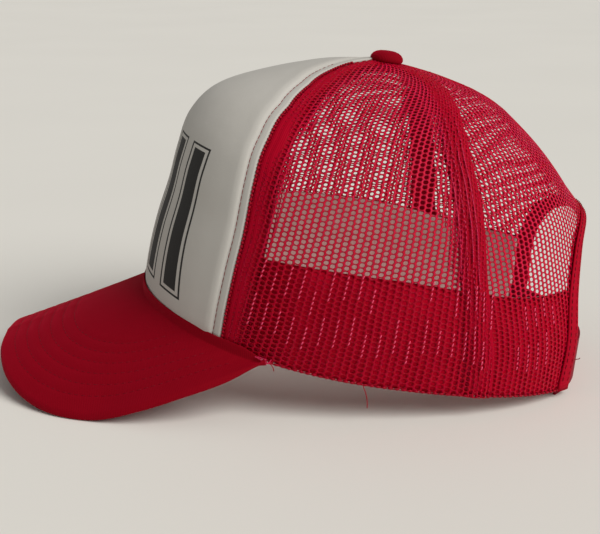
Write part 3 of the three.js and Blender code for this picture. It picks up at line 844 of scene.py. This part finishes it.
def net_height(v, arc, panel):
    """How far the net stands off the dome: a few sines draw its folds and slack waves."""
    from_foam, to_side = from_seams(v, arc)
    strip = gather_share(v, arc) * (panel is SIDE_PANEL)
    wander = 0.6 * np.sin(v * 21 + 1.0) + 0.4 * np.sin(v * 47)
    folds = np.abs(np.sin(math.pi * (to_side + wander) / FOLD_STEP))
    slack = np.sin(arc / 13 + v * 9) * np.sin(v * 17 - arc / 31)
    seams = np.minimum(np.abs(to_side), from_foam)
    calm = np.clip((v - CALM_FOOT) / CALM_RUN, 0, 1) * np.clip((1 - v) / CALM_TOP, 0, 1)
    calm *= np.clip(seams / CALM_SEAM, 0, 1)
    return strip * (GATHER_RISE + FOLD_RISE * folds) + SAG * slack * calm * (1 - strip)


def gathered(panel, x, y):
    """Takes the flat cloth's x to the panel's own x, squeezing it near the side seam."""
    if panel is BACK_PANEL:
        return x
    x = x + np.interp(x, LEAN["across"], LEAN["slope"]) * (y - LEAN_MIDDLE)
    v, _ = to_hat(panel, x, y)
    seam = np.interp(v, GRID_V, side_edge) - np.interp(v, GRID_V, panel["reference"])
    return seam - np.interp(seam - x, GATHER["on_cloth"], GATHER["on_hat"])


# %% [markdown]
# Now the net itself: cut the flat lattice to the panel, open its holes, give it thickness
# and bend it over the dome. Cells whose middle lies past a seam go. The rest are pulled
# onto the seam, so every panel ends in a clean line.

# %% Make a net
NET_OUT = -0.2             # the net lies just under the dome, and its crests reach it
SIDE_FIELD, BACK_FIELD = 170.0, 150.0   # widths of the lattices that the panels are cut from
FIELD_HEIGHT = 1.25        # and their height, as a share of the panel's
WOBBLE, WOBBLE_STEP = 0.22, 0.12        # the knots wander by this much, and this fast per mm


def trimmed_net(panel, width, turn, offset, keep):
    """A flat net cut to a panel; keep says which cells stay, from their place on the hat."""
    height = float(panel["rise"][-1]) * FIELD_HEIGHT
    bm = lattice(width, height, turn)
    bmesh.ops.translate(bm, verts=bm.verts, vec=(offset[0], offset[1], 0))
    centres = np.array([face.calc_center_median() for face in bm.faces])
    x = gathered(panel, centres[:, 0], centres[:, 1])
    v, arc = to_hat(panel, x, centres[:, 1])
    low, high = (np.interp(v, GRID_V, end) for end in panel["ends"])
    stays = (arc > low) & (arc < high) & (centres[:, 1] > 0) & (v < CROWN_TOP)
    stays &= (opening_share(v, arc) > 1) & keep(v, arc)
    gone = [face for face, stay in zip(bm.faces, stays) if not stay]
    bmesh.ops.delete(bm, geom=gone, context="FACES")
    flat = np.array([vert.co for vert in bm.verts])
    x, y = gathered(panel, flat[:, 0], flat[:, 1]), np.maximum(flat[:, 1], 0)
    v, arc = to_hat(panel, x, y)
    low, high = (np.interp(v, GRID_V, end) for end in panel["ends"])
    v, arc = keep_off_opening(v, np.clip(arc, low, high))
    x, y = to_cloth(panel, v, arc)
    for vert, spot in zip(bm.verts, zip(x, y)):
        wobble = noise.noise_vector(Vector((spot[0], spot[1], 3.0)) * WOBBLE_STEP)
        free = WOBBLE if len(vert.link_faces) > 2 else 0.0
        vert.co = (spot[0] + wobble.x * free, spot[1] + wobble.y * free, 0)
    return bm


def knit(panel, out, width, turn=0.0, offset=(0.0, 0.0), keep=lambda v, arc: v > -1):
    """Trims a net, opens its holes, gives it thickness and bends it over the hat."""
    bm = trimmed_net(panel, width, turn, offset, keep)
    crest = open_holes(bm)
    bmesh.ops.solidify(bm, geom=bm.faces[:], thickness=STRAND)
    top = max(vert.co.z for vert in bm.verts)
    for vert in bm.verts:
        if vert.co.z > top - STRAND / 2:
            vert.co.z += CREST * vert[crest]
    bmesh.ops.translate(bm, verts=bm.verts, vec=(0, 0, -top))
    # Where this clear share is low, the net's colour gets painted shade from a band or tape behind.
    clear = bm.verts.layers.float.new("clear")
    flat = np.array([vert.co for vert in bm.verts])
    for vert, share in zip(bm.verts, clear_behind(*to_hat(panel, flat[:, 0], flat[:, 1]))):
        vert[clear] = share

    def place(x, y, z):
        v, arc = to_hat(panel, x, y)
        return off_crown(v, angle_at(v, arc), z + out + net_height(v, arc, panel)), arc, y

    drape(bm, place, with_map=False)
    return bm


def add_pair(bm, name, material, node=None):
    """Adds a left piece and its mirror image, and hides the pair of CAD nodes they replace."""
    for side, mesh in (("left", bm), ("right", mirrored(bm))):
        make_piece(mesh, f"{name}_{side}", material, [f"{node}_{side}"] if node else ())


side_net = knit(SIDE_PANEL, NET_OUT, SIDE_FIELD)
add_pair(side_net, "side_net", NET, "mesh_side")
back_net = knit(BACK_PANEL, NET_OUT, BACK_FIELD)
add_pair(back_net, "back_net", NET, "mesh_back")

# %% [markdown]
# ## Doubled net along the edges
# The panels' seam allowances and hems are folded back inside. Seen from outside they are
# a second, shifted net behind the first, which closes most of the holes. We knit that
# second layer with the same functions and keep only the cells near an edge.

# %% Second layer of net
FOAM_FOLD = 13.0           # widths of the folded net
SIDE_FOLD = 15.0
HEM_FOLD = 7.0
OPENING_FOLD = 0.09        # beyond the opening's edge, as a share of its size
BACK_FOLD = {              # height share, and width of the strip beside the back's middle
    "v": [0.42, 0.60, 0.80, 0.95],
    "width": [26.0, 20.0, 13.0, 9.0],
}
TOP_FOLD = 0.9             # above this share the net is gathered under the button
FOLD_OUT = NET_OUT - 0.5
FOLD_SHIFT = (1.2, 0.9)    # the second layer's cells are shifted and turned against the first's
SIDE_FOLD_TURN, BACK_FOLD_TURN = math.radians(3), math.radians(4)


def near_side_panel_edges(v, arc):
    """True where the side panel's net is folded double."""
    from_foam, to_side = from_seams(v, arc)
    near = (from_foam < FOAM_FOLD) | (to_side < SIDE_FOLD) | (v * CROWN_LENGTH < HEM_FOLD)
    return near | (v > TOP_FOLD)


def near_back_panel_edges(v, arc):
    """True where the back panel's net is folded double."""
    near = half_round(v) - arc < np.interp(v, BACK_FOLD["v"], BACK_FOLD["width"])
    near |= v * CROWN_LENGTH < HEM_FOLD
    return near | (opening_share(v, arc) < 1 + OPENING_FOLD) | (v > TOP_FOLD)


fold = knit(SIDE_PANEL, FOLD_OUT, SIDE_FIELD, SIDE_FOLD_TURN, FOLD_SHIFT, near_side_panel_edges)
add_pair(fold, "side_net_fold", NET)
fold = knit(BACK_PANEL, FOLD_OUT, BACK_FIELD, BACK_FOLD_TURN, FOLD_SHIFT, near_back_panel_edges)
add_pair(fold, "back_net_fold", NET)

# %% [markdown]
# ## Tapes and binding
# Woven tape covers the seams inside the crown and gives them their dense red look. A flat
# wall is bent along each seam. The back opening is bound by the same tape, which follows
# the opening's rounded outline.

# %% Seam tapes
TAPE_THICK = 0.9
TAPE_FOOT, TAPE_HEAD = 0.012, 0.965     # the height shares where the tapes start and end
TAPE_OVER_OPENING = 0.022  # the back tape starts this far above the opening
TAPE_RIB, TAPE_RIB_WIDE = 0.12, 1.2     # height and half the step of the ribs along the tape
TAPE_NARROWS = 0.16        # the tapes narrow over this share of the crown, towards the button


def tape(line, shape, foot):
    """A tape along a line round the hat, pressed up into the net in its middle."""
    bm = flat_wall(across=18, up=130)

    def place(x, y, z):
        v = foot + (TAPE_HEAD - foot) * (y + 1) / 2
        share = np.clip((1 - v) / TAPE_NARROWS, shape["kept"], 1)
        flat = shape["across"][0] + (shape["across"][-1] - shape["across"][0]) * (x + 1) / 2
        across = flat * share
        arc = np.interp(v, GRID_V, line) + across
        rib = TAPE_RIB * (np.cos(across * math.pi / TAPE_RIB_WIDE) - 1) * (z > -0.5)
        face = np.interp(flat, shape["across"], shape["face"]) + GATHER_RISE * gather_share(v, arc)
        return off_crown(v, angle_at(v, arc), face + rib + z * TAPE_THICK), across, v * CROWN_LENGTH

    drape(bm, place)
    return bm


front_tape = tape(foam_edge, FRONT_TAPE, TAPE_FOOT)
add_pair(front_tape, "front_tape", TAPE_CLOTH, "seam_tape_front")
side_tape = tape(side_edge, SIDE_TAPE, TAPE_FOOT)
add_pair(side_tape, "side_tape", TAPE_CLOTH, "seam_tape_side")
back_tape = tape(HALF_ROUND, BACK_TAPE, OPENING_TOP + TAPE_OVER_OPENING)
make_piece(back_tape, "back_tape", TAPE_CLOTH, ["seam_tape_back"])

# %% [markdown]
# The binding of the back opening is the same tape, folded round the net's edge. We run the
# wall's long side along the opening's outline. Its short side goes from the outer flap
# round the fold to the inner flap, and two stitch rows hold the net between them.

# %% Binding of the back opening
BINDING_THICK = 0.6
BINDING_MIDDLE = -0.5      # the fold's middle lies this far under the dome
BINDING_RADIUS = 1.2       # and this is its outer radius
BINDING_FOLD = 0.35        # share of the wall's short side that is spent on the fold
BINDING_PRESS = 0.35       # the outer flap's free edge is pressed this far into the net
BINDING_HALF_LONG, BINDING_HALF_WIDE = 150, 8   # half its flat size, for the weave
BINDING_STITCH = {"step": 2.8, "size": (2.3, 0.4, 0.4)}
BINDING_ROWS = (1.2, BINDING_WIDTH - 1.0)       # the stitch rows, from the opening's edge
BINDING_ROW_HALF = 0.995   # they stop just before its ends
THREAD_PROUD = 0.05        # their threads' middles stand this far out of the tape


def opening_line(along, grow):
    """Height and angle on the opening's outline, grown by some mm; along runs from -1 to 1."""
    angle = math.pi / 2 * (1 - along)
    v = (OPENING_TOP + grow / CROWN_LENGTH) * np.sin(angle) ** (2 / OPENING_SQUARE)
    wide = (OPENING_HALF_WIDTH + grow) * np.abs(np.cos(angle)) ** (2 / OPENING_SQUARE)
    turn = turn_at(v, wide)
    return v, math.pi - np.where(along > 0, turn, -turn)


def opening_angle(v, grow):
    """The angle of the opening's left edge at a height below its top."""
    high, wide = OPENING_TOP + grow / CROWN_LENGTH, OPENING_HALF_WIDTH + grow
    return math.pi - turn_at(v, wide * (1 - (v / high) ** OPENING_SQUARE) ** (1 / OPENING_SQUARE))


def binding_place(x, y, z):
    """The binding: x runs along the opening's outline, y from the outer flap to the inner."""
    turn = np.clip(y / BINDING_FOLD, -1, 1) * math.pi / 2
    flap = np.maximum(np.abs(y) - BINDING_FOLD, 0) / (1 - BINDING_FOLD)
    reach = BINDING_RADIUS + z * BINDING_THICK
    grow = flap * BINDING_WIDTH - reach * np.cos(turn)
    v, phi = opening_line(x, grow)
    press = BINDING_PRESS * flap**4 * (y < 0)
    spots = off_crown(v, phi, BINDING_MIDDLE - reach * np.sin(turn) - press)
    return spots, x * BINDING_HALF_LONG, y * BINDING_HALF_WIDE


bm = flat_wall(across=200, up=26)
drape(bm, binding_place)
make_piece(bm, "opening_tape", TAPE_CLOTH, ["opening_binding"])

bm = bmesh.new()
for grow in BINDING_ROWS:
    v, phi = opening_line(np.linspace(-BINDING_ROW_HALF, BINDING_ROW_HALF, 400), grow)
    seam = off_crown(v, phi, BINDING_MIDDLE + BINDING_RADIUS + THREAD_PROUD)
    outward = (off_crown(v, phi, 2.0) - seam) / MM
    sew(bm, seam, unit(outward), **BINDING_STITCH)
make_piece(bm, "opening_stitching", PEAK_THREAD)

# %% [markdown]
# ## Edges of the net
# Where the net is cut and sewn, its loops stand up as a row of small beads. We see them on
# the foam's border and along the hem. They are rows of short round stitches in the net's
# own yarn.

# %% Looped edges
FOAM_LOOP = {"step": 1.6, "size": (1.7, 1.5, 0.9)}      # closer than the net's own columns
FOAM_LOOP_IN, FOAM_LOOP_OUT = 0.4, -0.1         # just behind the seam, and just under the dome
FOAM_LOOP_FROM, FOAM_LOOP_TO = 0.004, 0.93      # between these shares of the height
HEM_LOOP = {"step": COLUMN_STEP, "size": (2.5, 1.2, 1.0)}       # one to each column of holes
HEM_LOOP_V, HEM_LOOP_OUT = 0.003, -0.2          # just above the hem's edge, and under the dome
HEM_LOOP_GAP = 1.0         # the row starts this far behind the foam
loops = bmesh.new()
heights = np.linspace(FOAM_LOOP_FROM, FOAM_LOOP_TO, 190)
sew(loops, *crown_line(heights, seam_arc(FOAM_SEAM, heights) + FOAM_LOOP_IN, FOAM_LOOP_OUT), **FOAM_LOOP)
hem_arcs = np.linspace(foam_edge[0] + HEM_LOOP_GAP, arc_at(0.0, opening_angle(0.0, 0.0)), 200)
sew(loops, *crown_line(np.full(200, HEM_LOOP_V), hem_arcs, HEM_LOOP_OUT), **HEM_LOOP)
add_pair(loops, "looped_edge", LOOPED_YARN)

# %% [markdown]
# ## Sweatband
# A band lines the hem. Its outside is red cotton, pressed against the net, and shows as a
# darker zone with a crisp top edge. Its inside is pale terry, which is what we see through
# the net on the far side. One function bends both walls, each with its own two depths.

# %% Sweatband
BAND_MIDDLE, BAND_INSIDE = -3.0, -4.4   # depths where the two walls meet, and inside
BAND_OUTSIDE = {           # distance from the front's middle, and depth of the outer face
    "arc": [0.0, 76.0, 84.0, 108.0, 232.0, 240.0],
    "depth": [-2.6, -2.6, -2.3, -0.9, -0.9, -2.1],
}
BAND_FOOT = 0.012
BAND_UNDER = BINDING_WIDTH - 1.0        # its ends lie under the binding, this far from the opening
BAND_END_V = 0.2           # a height share near its top, where its length is measured first
BAND_ROLL, BAND_ROLL_RUN = 0.5, 0.02    # its top edge is rolled in by this much, over this share
BAND_WAVE = 0.12           # it ripples a little
BAND_HALF_LONG = 250       # half its flat length, for the weave


def band_wall(inner):
    """One wall of the band: x runs round the head from one end to the other, y up."""
    bm = flat_wall(across=280, up=18)

    def place(x, y, z):
        share = BAND_FOOT + (1 - BAND_FOOT) * (y + 1) / 2
        v = share * band_top(opening_angle(BAND_END_V, BAND_UNDER) * x)
        phi = opening_angle(v, BAND_UNDER) * x
        roll = BAND_ROLL * np.exp(-(((1 - share) / BAND_ROLL_RUN) ** 2))
        arc = arc_at(v, np.abs(phi))
        waves = BAND_WAVE * np.sin(x * 90 + 6 * share) * np.sin(share * 9)
        outer = np.interp(arc, BAND_OUTSIDE["arc"], BAND_OUTSIDE["depth"]) + waves - roll
        front, back = (BAND_MIDDLE, BAND_INSIDE + roll) if inner else (outer, BAND_MIDDLE)
        spots = off_crown(v, phi, np.where(z < -0.5, back, front))
        return spots, x * BAND_HALF_LONG, v * CROWN_LENGTH

    drape(bm, place)
    return bm


make_piece(band_wall(False), "sweatband_cloth", BAND_CLOTH, ["sweatband"])
make_piece(band_wall(True), "sweatband_lining", TERRY)

# %% [markdown]
# ## Painted glints on the ribs, and loose ends
# Where the net lies on the band, some of its ribs catch the light. We paint these glints as
# dashed pink lines on every second column, in one or two short runs. A fixed noise chooses
# where each run starts and ends.

# %% Painted glints on the ribs
RIB_STEP = 2 * COLUMN_STEP
RIB_LOW, RIB_HIGH = 7.0, 46.0           # the heights that the lines keep to
RIB_SPREAD = 12            # the lowest run starts up to this much higher
RIB_SHORT, RIB_LONGER = 7, 12           # its least length, and how much longer it may be
RIB_UPPER = 0.35           # a rib gets a second painted glint where chance is above this
UPPER_GAP, UPPER_WIDER = 2, 7           # the least gap before that, and how much wider it may be
UPPER_SHORT, UPPER_LONGER = 5, 16       # the least length of the second run, and how much longer
RIB_DASH, RIB_FLAT, RIB_SLANT = 1.7, 0.4, -0.3          # a dash's length, height and slant
RIB_THICK, RIB_THICKER = 0.45, 0.3      # its least width, and how much wider it may be
RIB_FROM_FOAM, RIB_FROM_SIDE = 8, 5     # no painted glint lies nearer to the seams
RIB_OFF_OPENING = 1.25     # or nearer to the opening than this share of its size
RIB_ROWS = ((SIDE_PANEL, -60.0, 23), (BACK_PANEL, -44.0, 16))       # first rib's x, and their number
# Painted glints along the folds beside the side seam:
FOLDED_RIBS = 14
FOLDED_FROM, FOLDED_SPREAD = 0.06, 0.5  # the height shares where they start
FOLDED_SHORT, FOLDED_LONGER = 0.12, 0.3         # and their lengths
FOLDED_DASH = {"step": ROW_STEP, "size": (1.4, 0.45, 0.35)}


def chance(seed):
    """A fixed number from 0 to 1 for a seed, read along a line through the noise."""
    return 0.5 + 0.5 * noise.noise(Vector((seed * 3.7 + 0.5, 1.3, 7.1)))


def rib_runs(k):
    """The heights between which rib k gets a painted glint: one run low down and often one above it."""
    low = RIB_LOW + RIB_SPREAD * chance(k)
    high = low + RIB_SHORT + RIB_LONGER * chance(k + 40)
    runs = [(low, high)]
    if chance(k + 80) > RIB_UPPER:
        start = high + UPPER_GAP + UPPER_WIDER * chance(k + 120)
        runs.append((start, min(start + UPPER_SHORT + UPPER_LONGER * chance(k + 160), RIB_HIGH)))
    return runs


def painted_glint_ribs(bm, panel, first, count):
    """Sews the painted glint dashes of some ribs of a panel."""
    for k in range(count):
        for low, high in rib_runs(k):
            y = np.linspace(low, high, 30)
            v, arc = to_hat(panel, gathered(panel, np.full(30, first + RIB_STEP * k), y), y)
            start, end = (line[0] for line in panel["ends"])
            inside = arc[0] > start + RIB_FROM_FOAM and arc[-1] < end - RIB_FROM_SIDE
            if inside and opening_share(v, arc).min() > RIB_OFF_OPENING:
                out = NET_OUT + CREST + net_height(v, arc, panel)
                size = (RIB_DASH, RIB_THICK + RIB_THICKER * chance(k + low), RIB_FLAT)
                sew(bm, *crown_line(v, arc, out), step=ROW_STEP, size=size, turn=RIB_SLANT)


def painted_fold_glints(bm, count):
    """Sews the painted glint dashes that follow the folds beside the side seam."""
    for k in range(count):
        start = FOLDED_FROM + FOLDED_SPREAD * chance(k + 9)
        v = np.linspace(start, start + FOLDED_SHORT + FOLDED_LONGER * chance(k + 25), 40)
        arc = np.interp(v, GRID_V, side_edge) - FOLD_STEP * (1.5 + k % 4)
        out = NET_OUT + CREST + net_height(v, arc, SIDE_PANEL)
        sew(bm, *crown_line(v, arc, out), **FOLDED_DASH)


bm = bmesh.new()
for panel, first, count in RIB_ROWS:
    painted_glint_ribs(bm, panel, first, count)
add_pair(bm, "painted_glint_ribs", GLINT_YARN)
bm = bmesh.new()
painted_fold_glints(bm, FOLDED_RIBS)
add_pair(bm, "painted_fold_glints", FOLD_GLINT_AND_TUFT_YARN)

# %% [markdown]
# A few cut thread ends are left at the hem, and a small tuft of loops sits where the peak's
# end meets the net. Each is one more sewn row, with stitches so close that they run together.

# %% Loose threads
THREAD_BOW = [0.4, 0.7, 0.0]            # how far a thread bows out halfway
THREAD_POINTS = 12
LOOSE_ENDS = [             # where they start and end, in mm on the crown's tables
    ((80.2, 42.0, 15.0), (80.9, 44.0, 4.8)),
    ((73.6, 5.5, 21.6), (74.6, 6.6, 18.2)),
    ((51.0, 134.6, 14.0), (52.4, 136.4, 15.4)),
]
TUFT = [                   # the loops at the peak's left end
    ((72.9, 0.4, 24.5), (73.9, 4.6, 22.8)),
    ((73.4, 2.0, 22.8), (74.6, 6.2, 21.4)),
    ((73.6, -0.6, 24.8), (74.4, 2.4, 22.8)),
    ((73.4, 5.8, 23.4), (75.0, 2.8, 21.7)),
]


def loose_threads(ends, thick, name, material):
    """Short threads that bow outwards between their two ends."""
    bm = bmesh.new()
    for start, end in ends:
        share = np.linspace(0, 1, THREAD_POINTS)[:, None]
        bow = np.array(THREAD_BOW) * np.sin(math.pi * share)
        points = (np.array(start) + (np.array(end) - np.array(start)) * share + bow + SHIFT) * MM
        outward = np.tile([1.0, 0.0, 0.0], (THREAD_POINTS, 1))
        sew(bm, points, outward, step=0.7, size=(1.3, thick, thick))
    make_piece(bm, name, material)


loose_threads(LOOSE_ENDS, thick=0.45, name="loose_threads", material=LOOPED_YARN)
loose_threads(TUFT, thick=0.55, name="tuft_left", material=FOLD_GLINT_AND_TUFT_YARN)

# %% [markdown]
# ## Peak
# A stiff board is wrapped in twill, and six rows of stitches follow the outer edge. They
# are widest apart at the sides and closest at the ends. Straight rulings join the crown's
# hem to that edge. Along the foam the cloth turns up in a narrow lip. The rows are real
# grooves, because bump would not bend a highlight.

# %% Peak cover
PEAK_EDGE = {
    "x": [0.0, 20.0, 40.0, 56.0, 68.0, 75.5, 80.0, 81.0, 79.5, 75.0],
    "y": [-114.0, -113.0, -107.5, -97.4, -83.6, -66.0, -48.0, -30.0, -14.0, 3.0],
    "z": [11.0, 9.2, 5.0, 0.6, -1.8, -1.6, 3.4, 9.4, 14.6, 20.8],
}
PEAK_END = 1.126           # the peak ends at this angle round the crown
PEAK_THICK = 3.2
PEAK_OFF_CROWN = 0.95      # it starts this far off the dome, on the foam
PEAK_THINS = 0.85          # towards its ends it gets this much thinner,
THIN_FROM, THIN_RUN = 0.88, 0.12        # from this share of its half width on, over that
PEAK_HALF_WIDE = 125       # half its flat width, for the weave
PEAK_LIP, LIP_RUN = 4.0, 0.9            # height of the lip, and how far out it takes to rise
LIP_GRID = 1.2             # the lip's own rows of the grid cover this much of that
PEAK_ROUND = 1.6           # radius of its outer edge
ROW_COUNT = 6
PEAK_ROWS = {              # from the middle to the ends: first row and step, mm in from the edge
    "first": [6.6, 7.3, 9.4, 11.2, 11.0, 9.0],
    "step": [5.6, 5.7, 6.3, 6.8, 5.6, 4.0],
}
GROOVE_DEEP, GROOVE_WIDE = 0.3, 1.2     # a stitched groove,
GROOVE_END = 3             # which fades this near to the crown
EDGE_ROWS = 0.07           # share of the grid's rows on the rounded edge
LIP_ROWS = 0.07            # and on the lip


def peak_line(s):
    """Both ends of the ruling at s, from -1 to 1 across, in mm with the shift added."""
    t = np.abs(s)
    x, y, z = (smooth_column(PEAK_EDGE[k], t) for k in "xyz")
    edge = np.stack([np.where(s < 0, -x, x), y, z + PEAK_THICK], -1) + SHIFT
    hem = off_crown(np.zeros_like(s), s * PEAK_END, PEAK_OFF_CROWN) / MM
    return hem, edge


def stitch_rows(s):
    """The first row's distance from the outer edge and the step to the next, in mm."""
    return (smooth_column(PEAK_ROWS[k], np.abs(s)) for k in ("first", "step"))


def peak_surface(s, from_edge, under=False):
    """A place on the peak's top or under it, from_edge mm in from its outer edge."""
    hem, edge = peak_line(s)
    length = np.linalg.norm(edge - hem, axis=-1)
    share = np.clip(1 - from_edge / np.maximum(length, 0.5), 0, 1)
    point = hem + (edge - hem) * share[..., None]
    thin = 1 - PEAK_THINS * np.maximum(0, (np.abs(s) - THIN_FROM) / THIN_RUN) ** 2
    from_hem = np.clip((length - from_edge) / LIP_RUN, 0, 1)
    lip = PEAK_LIP * (1 + np.cos(math.pi * from_hem)) / 2
    turn = np.clip(1 - from_edge / PEAK_ROUND, 0, 1)
    drop = PEAK_ROUND * (1 - np.sqrt(1 - turn**2))
    first, step = stitch_rows(s)
    row = (from_edge - first) / step
    to_row = (row - np.clip(np.round(row), 0, ROW_COUNT - 1)) * step
    groove = GROOVE_DEEP * np.exp(-((to_row / GROOVE_WIDE) ** 2)) * thin
    groove *= np.clip((length - from_edge) / GROOVE_END, 0, 1)
    up = (lip - drop - groove) if not under else (-PEAK_THICK + drop + groove)
    point[..., 2] += up * thin
    return point * MM


def peak_place(x, y, z):
    """The peak's wall: x across, y from the crown out to the edge."""
    hem, edge = peak_line(x)
    length = np.linalg.norm(edge - hem, axis=-1)
    t = (1 - y) / 2
    near = PEAK_ROUND * (1 - np.cos(np.clip(t / EDGE_ROWS, 0, 1) * math.pi / 2))
    last = np.maximum(length - LIP_GRID * LIP_RUN, PEAK_ROUND)
    share = np.clip((t - EDGE_ROWS) / (1 - EDGE_ROWS - LIP_ROWS), 0, 1)
    lip = np.clip((t - 1 + LIP_ROWS) / LIP_ROWS, 0, 1)
    far = PEAK_ROUND + share * (last - PEAK_ROUND) + lip * (length - last)
    from_edge = np.where(t < EDGE_ROWS, near, far)
    top, under = peak_surface(x, from_edge), peak_surface(x, from_edge, under=True)
    return np.where((z < -0.5)[:, None], under, top), x * PEAK_HALF_WIDE, length - from_edge


bm = flat_wall(across=190, up=122)
drape(bm, peak_place)
make_piece(bm, "peak_cover", TWILL, ["peak"])

# %% [markdown]
# The peak's stitches go through cloth and board, so the same rows show on top and below.
# They lie in the grooves. Where the peak gets too short for a row, the row ends.

# %% Stitches on the peak
PEAK_STITCH = {"step": 3.1, "size": (2.5, 0.42, 0.3)}
PEAK_STITCH_HALF = 0.985   # the rows stop just before the peak's ends,
PEAK_STITCH_GAP = 4.0      # and this far from the crown
bm = bmesh.new()
spread = np.linspace(-PEAK_STITCH_HALF, PEAK_STITCH_HALF, 260)
first, step = stitch_rows(spread)
hem, edge = peak_line(spread)
for row in range(ROW_COUNT):
    from_edge = first + step * row
    free = np.linalg.norm(edge - hem, axis=-1) > from_edge + PEAK_STITCH_GAP
    for under in (False, True):
        points = peak_surface(spread, from_edge, under)[free]
        lift = np.tile([0, 0, -1.0 if under else 1.0], (len(points), 1))
        sew(bm, points, lift, **PEAK_STITCH)
make_piece(bm, "peak_stitching", PEAK_THREAD)

# %% [markdown]
# ## Button
# The button is a metal shell covered with the peak's twill. Its outline is turned about
# its axis with a spin, and the finished shape is tilted onto the top of the crown.

# %% Button
BUTTON_TILT = 0.13         # it leans back by this angle
BUTTON_PLACE = (57.6, 134.2)            # y and z of the middle of its foot, on the crown's tables
BUTTON_OUTLINE = [         # from its axis under the crown, round the rim, to its top
    (0.0, -3.4), (4.2, -3.4), (4.2, -2.6), (1.6, -2.6), (1.6, 0.2), (6.4, 0.15), (6.9, 0.45),
    (7.2, 1.1), (7.15, 1.9), (6.85, 2.7), (6.1, 3.6), (4.9, 4.35), (3.4, 4.8), (1.7, 4.97), (0.0, 5.0),
]


def button():
    """Spins the outline and sets it on the crown."""
    bm = bmesh.new()
    corners = [bm.verts.new((x, 0, z)) for x, z in BUTTON_OUTLINE]
    edges = [bm.edges.new(pair) for pair in zip(corners, corners[1:])]
    bmesh.ops.spin(bm, geom=corners + edges, cent=(0, 0, 0), axis=(0, 0, 1), angle=math.tau,
                   steps=48, use_merge=True)
    bmesh.ops.remove_doubles(bm, verts=bm.verts, dist=0.02)

    def place(x, y, z):
        spots = np.stack([x, y, z], -1) @ np.array(Matrix.Rotation(-BUTTON_TILT, 3, "X")).T
        return (spots + [0, *BUTTON_PLACE] + SHIFT) * MM, x, y

    drape(bm, place)
    return bm


make_piece(button(), "button_cover", TWILL, ["button"])

# %% [markdown]
# ## Straps
# The two strap ends are rigid mouldings and their CAD shape is right, so they stay as they
# are and only get the plastic.

# %% Straps keep their own solids
for name in ("strap_outer", "strap_inner"):
    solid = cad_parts[name]
    solid.data.materials.clear()
    solid.data.materials.append(STRAP_PLASTIC)

# %% [markdown]
# ## Studio
# The hat stands on a pale floor, under a very wide sun from above and behind it and an even
# pale world. An area light would fade over a floor this large, and a sun doesn't. The
# camera stands at the wearer's left, a little above the hat, as it did for the photograph.

# %% Floor, light and camera
CAMERA_AZIMUTH, CAMERA_ELEVATION = math.radians(88), math.radians(15)
CAMERA_DISTANCE = 560.0
CAMERA_TARGET = np.array([0, 20.0, 42.0]) + SHIFT
CAMERA_LENS = 73.92
SUN_PLACE, SUN_POWER, SUN_SPREAD = (0.7, 0.85, 0.95), 2.75, math.radians(40)
HAT_MIDDLE = Vector((0, 0, 0.05))       # the sun points here
SUN_COLOUR, WORLD_COLOUR, WORLD_POWER = 0xFFFDF8, 0xF4F2EE, 0.34
FLOOR_SIZE = 9.0           # half its side, in metres
PAPER_CLOUD = 300.0        # size of the paper's soft tones


def paper_patterns(tree):
    """A faint cloudy tone."""
    return {"cloud": blotches(tree, PAPER_CLOUD, 3.0)}


bm = bmesh.new()
bmesh.ops.create_grid(bm, x_segments=8, y_segments=8, size=FLOOR_SIZE)
floor_mesh = bpy.data.meshes.new("floor")
bm.to_mesh(floor_mesh)
bm.free()
floor = add_object("floor", floor_mesh)
# Seamless paper is rolled without a coating, so it is quite matt.
floor_mesh.materials.append(new_finish(
    "matt_studio_paper", paper_patterns, tones=[("paper", "cloud", 0xE2E0DB, 0xE8E6E1)],
    roughness=0.9, ior=1.45))

lamp = bpy.data.lights.new("window", "SUN")
lamp.energy, lamp.color, lamp.angle = SUN_POWER, linear(SUN_COLOUR)[:3], SUN_SPREAD
sun = add_object("window", lamp)
sun.location = SUN_PLACE
sun.rotation_euler = (HAT_MIDDLE - Vector(SUN_PLACE)).to_track_quat("-Z", "Y").to_euler()

world = bpy.data.worlds.new("studio")
world.use_nodes = True
world.node_tree.nodes["Background"].inputs["Color"].default_value = linear(WORLD_COLOUR)
world.node_tree.nodes["Background"].inputs["Strength"].default_value = WORLD_POWER
bpy.context.scene.world = world
bpy.context.scene.view_settings.view_transform = "Standard"

lens = bpy.data.cameras.new("camera")
lens.lens = CAMERA_LENS
lens.clip_start, lens.clip_end = 0.01, 100.0
camera = add_object("camera", lens)
back = Vector((math.sin(CAMERA_AZIMUTH) * math.cos(CAMERA_ELEVATION),
               -math.cos(CAMERA_AZIMUTH) * math.cos(CAMERA_ELEVATION), math.sin(CAMERA_ELEVATION)))
camera.location = (Vector(CAMERA_TARGET) + back * CAMERA_DISTANCE) * MM
camera.rotation_euler = (-back).to_track_quat("-Z", "Y").to_euler()
bpy.context.scene.camera = camera
print("camera's distance in mm:", round(CAMERA_DISTANCE))
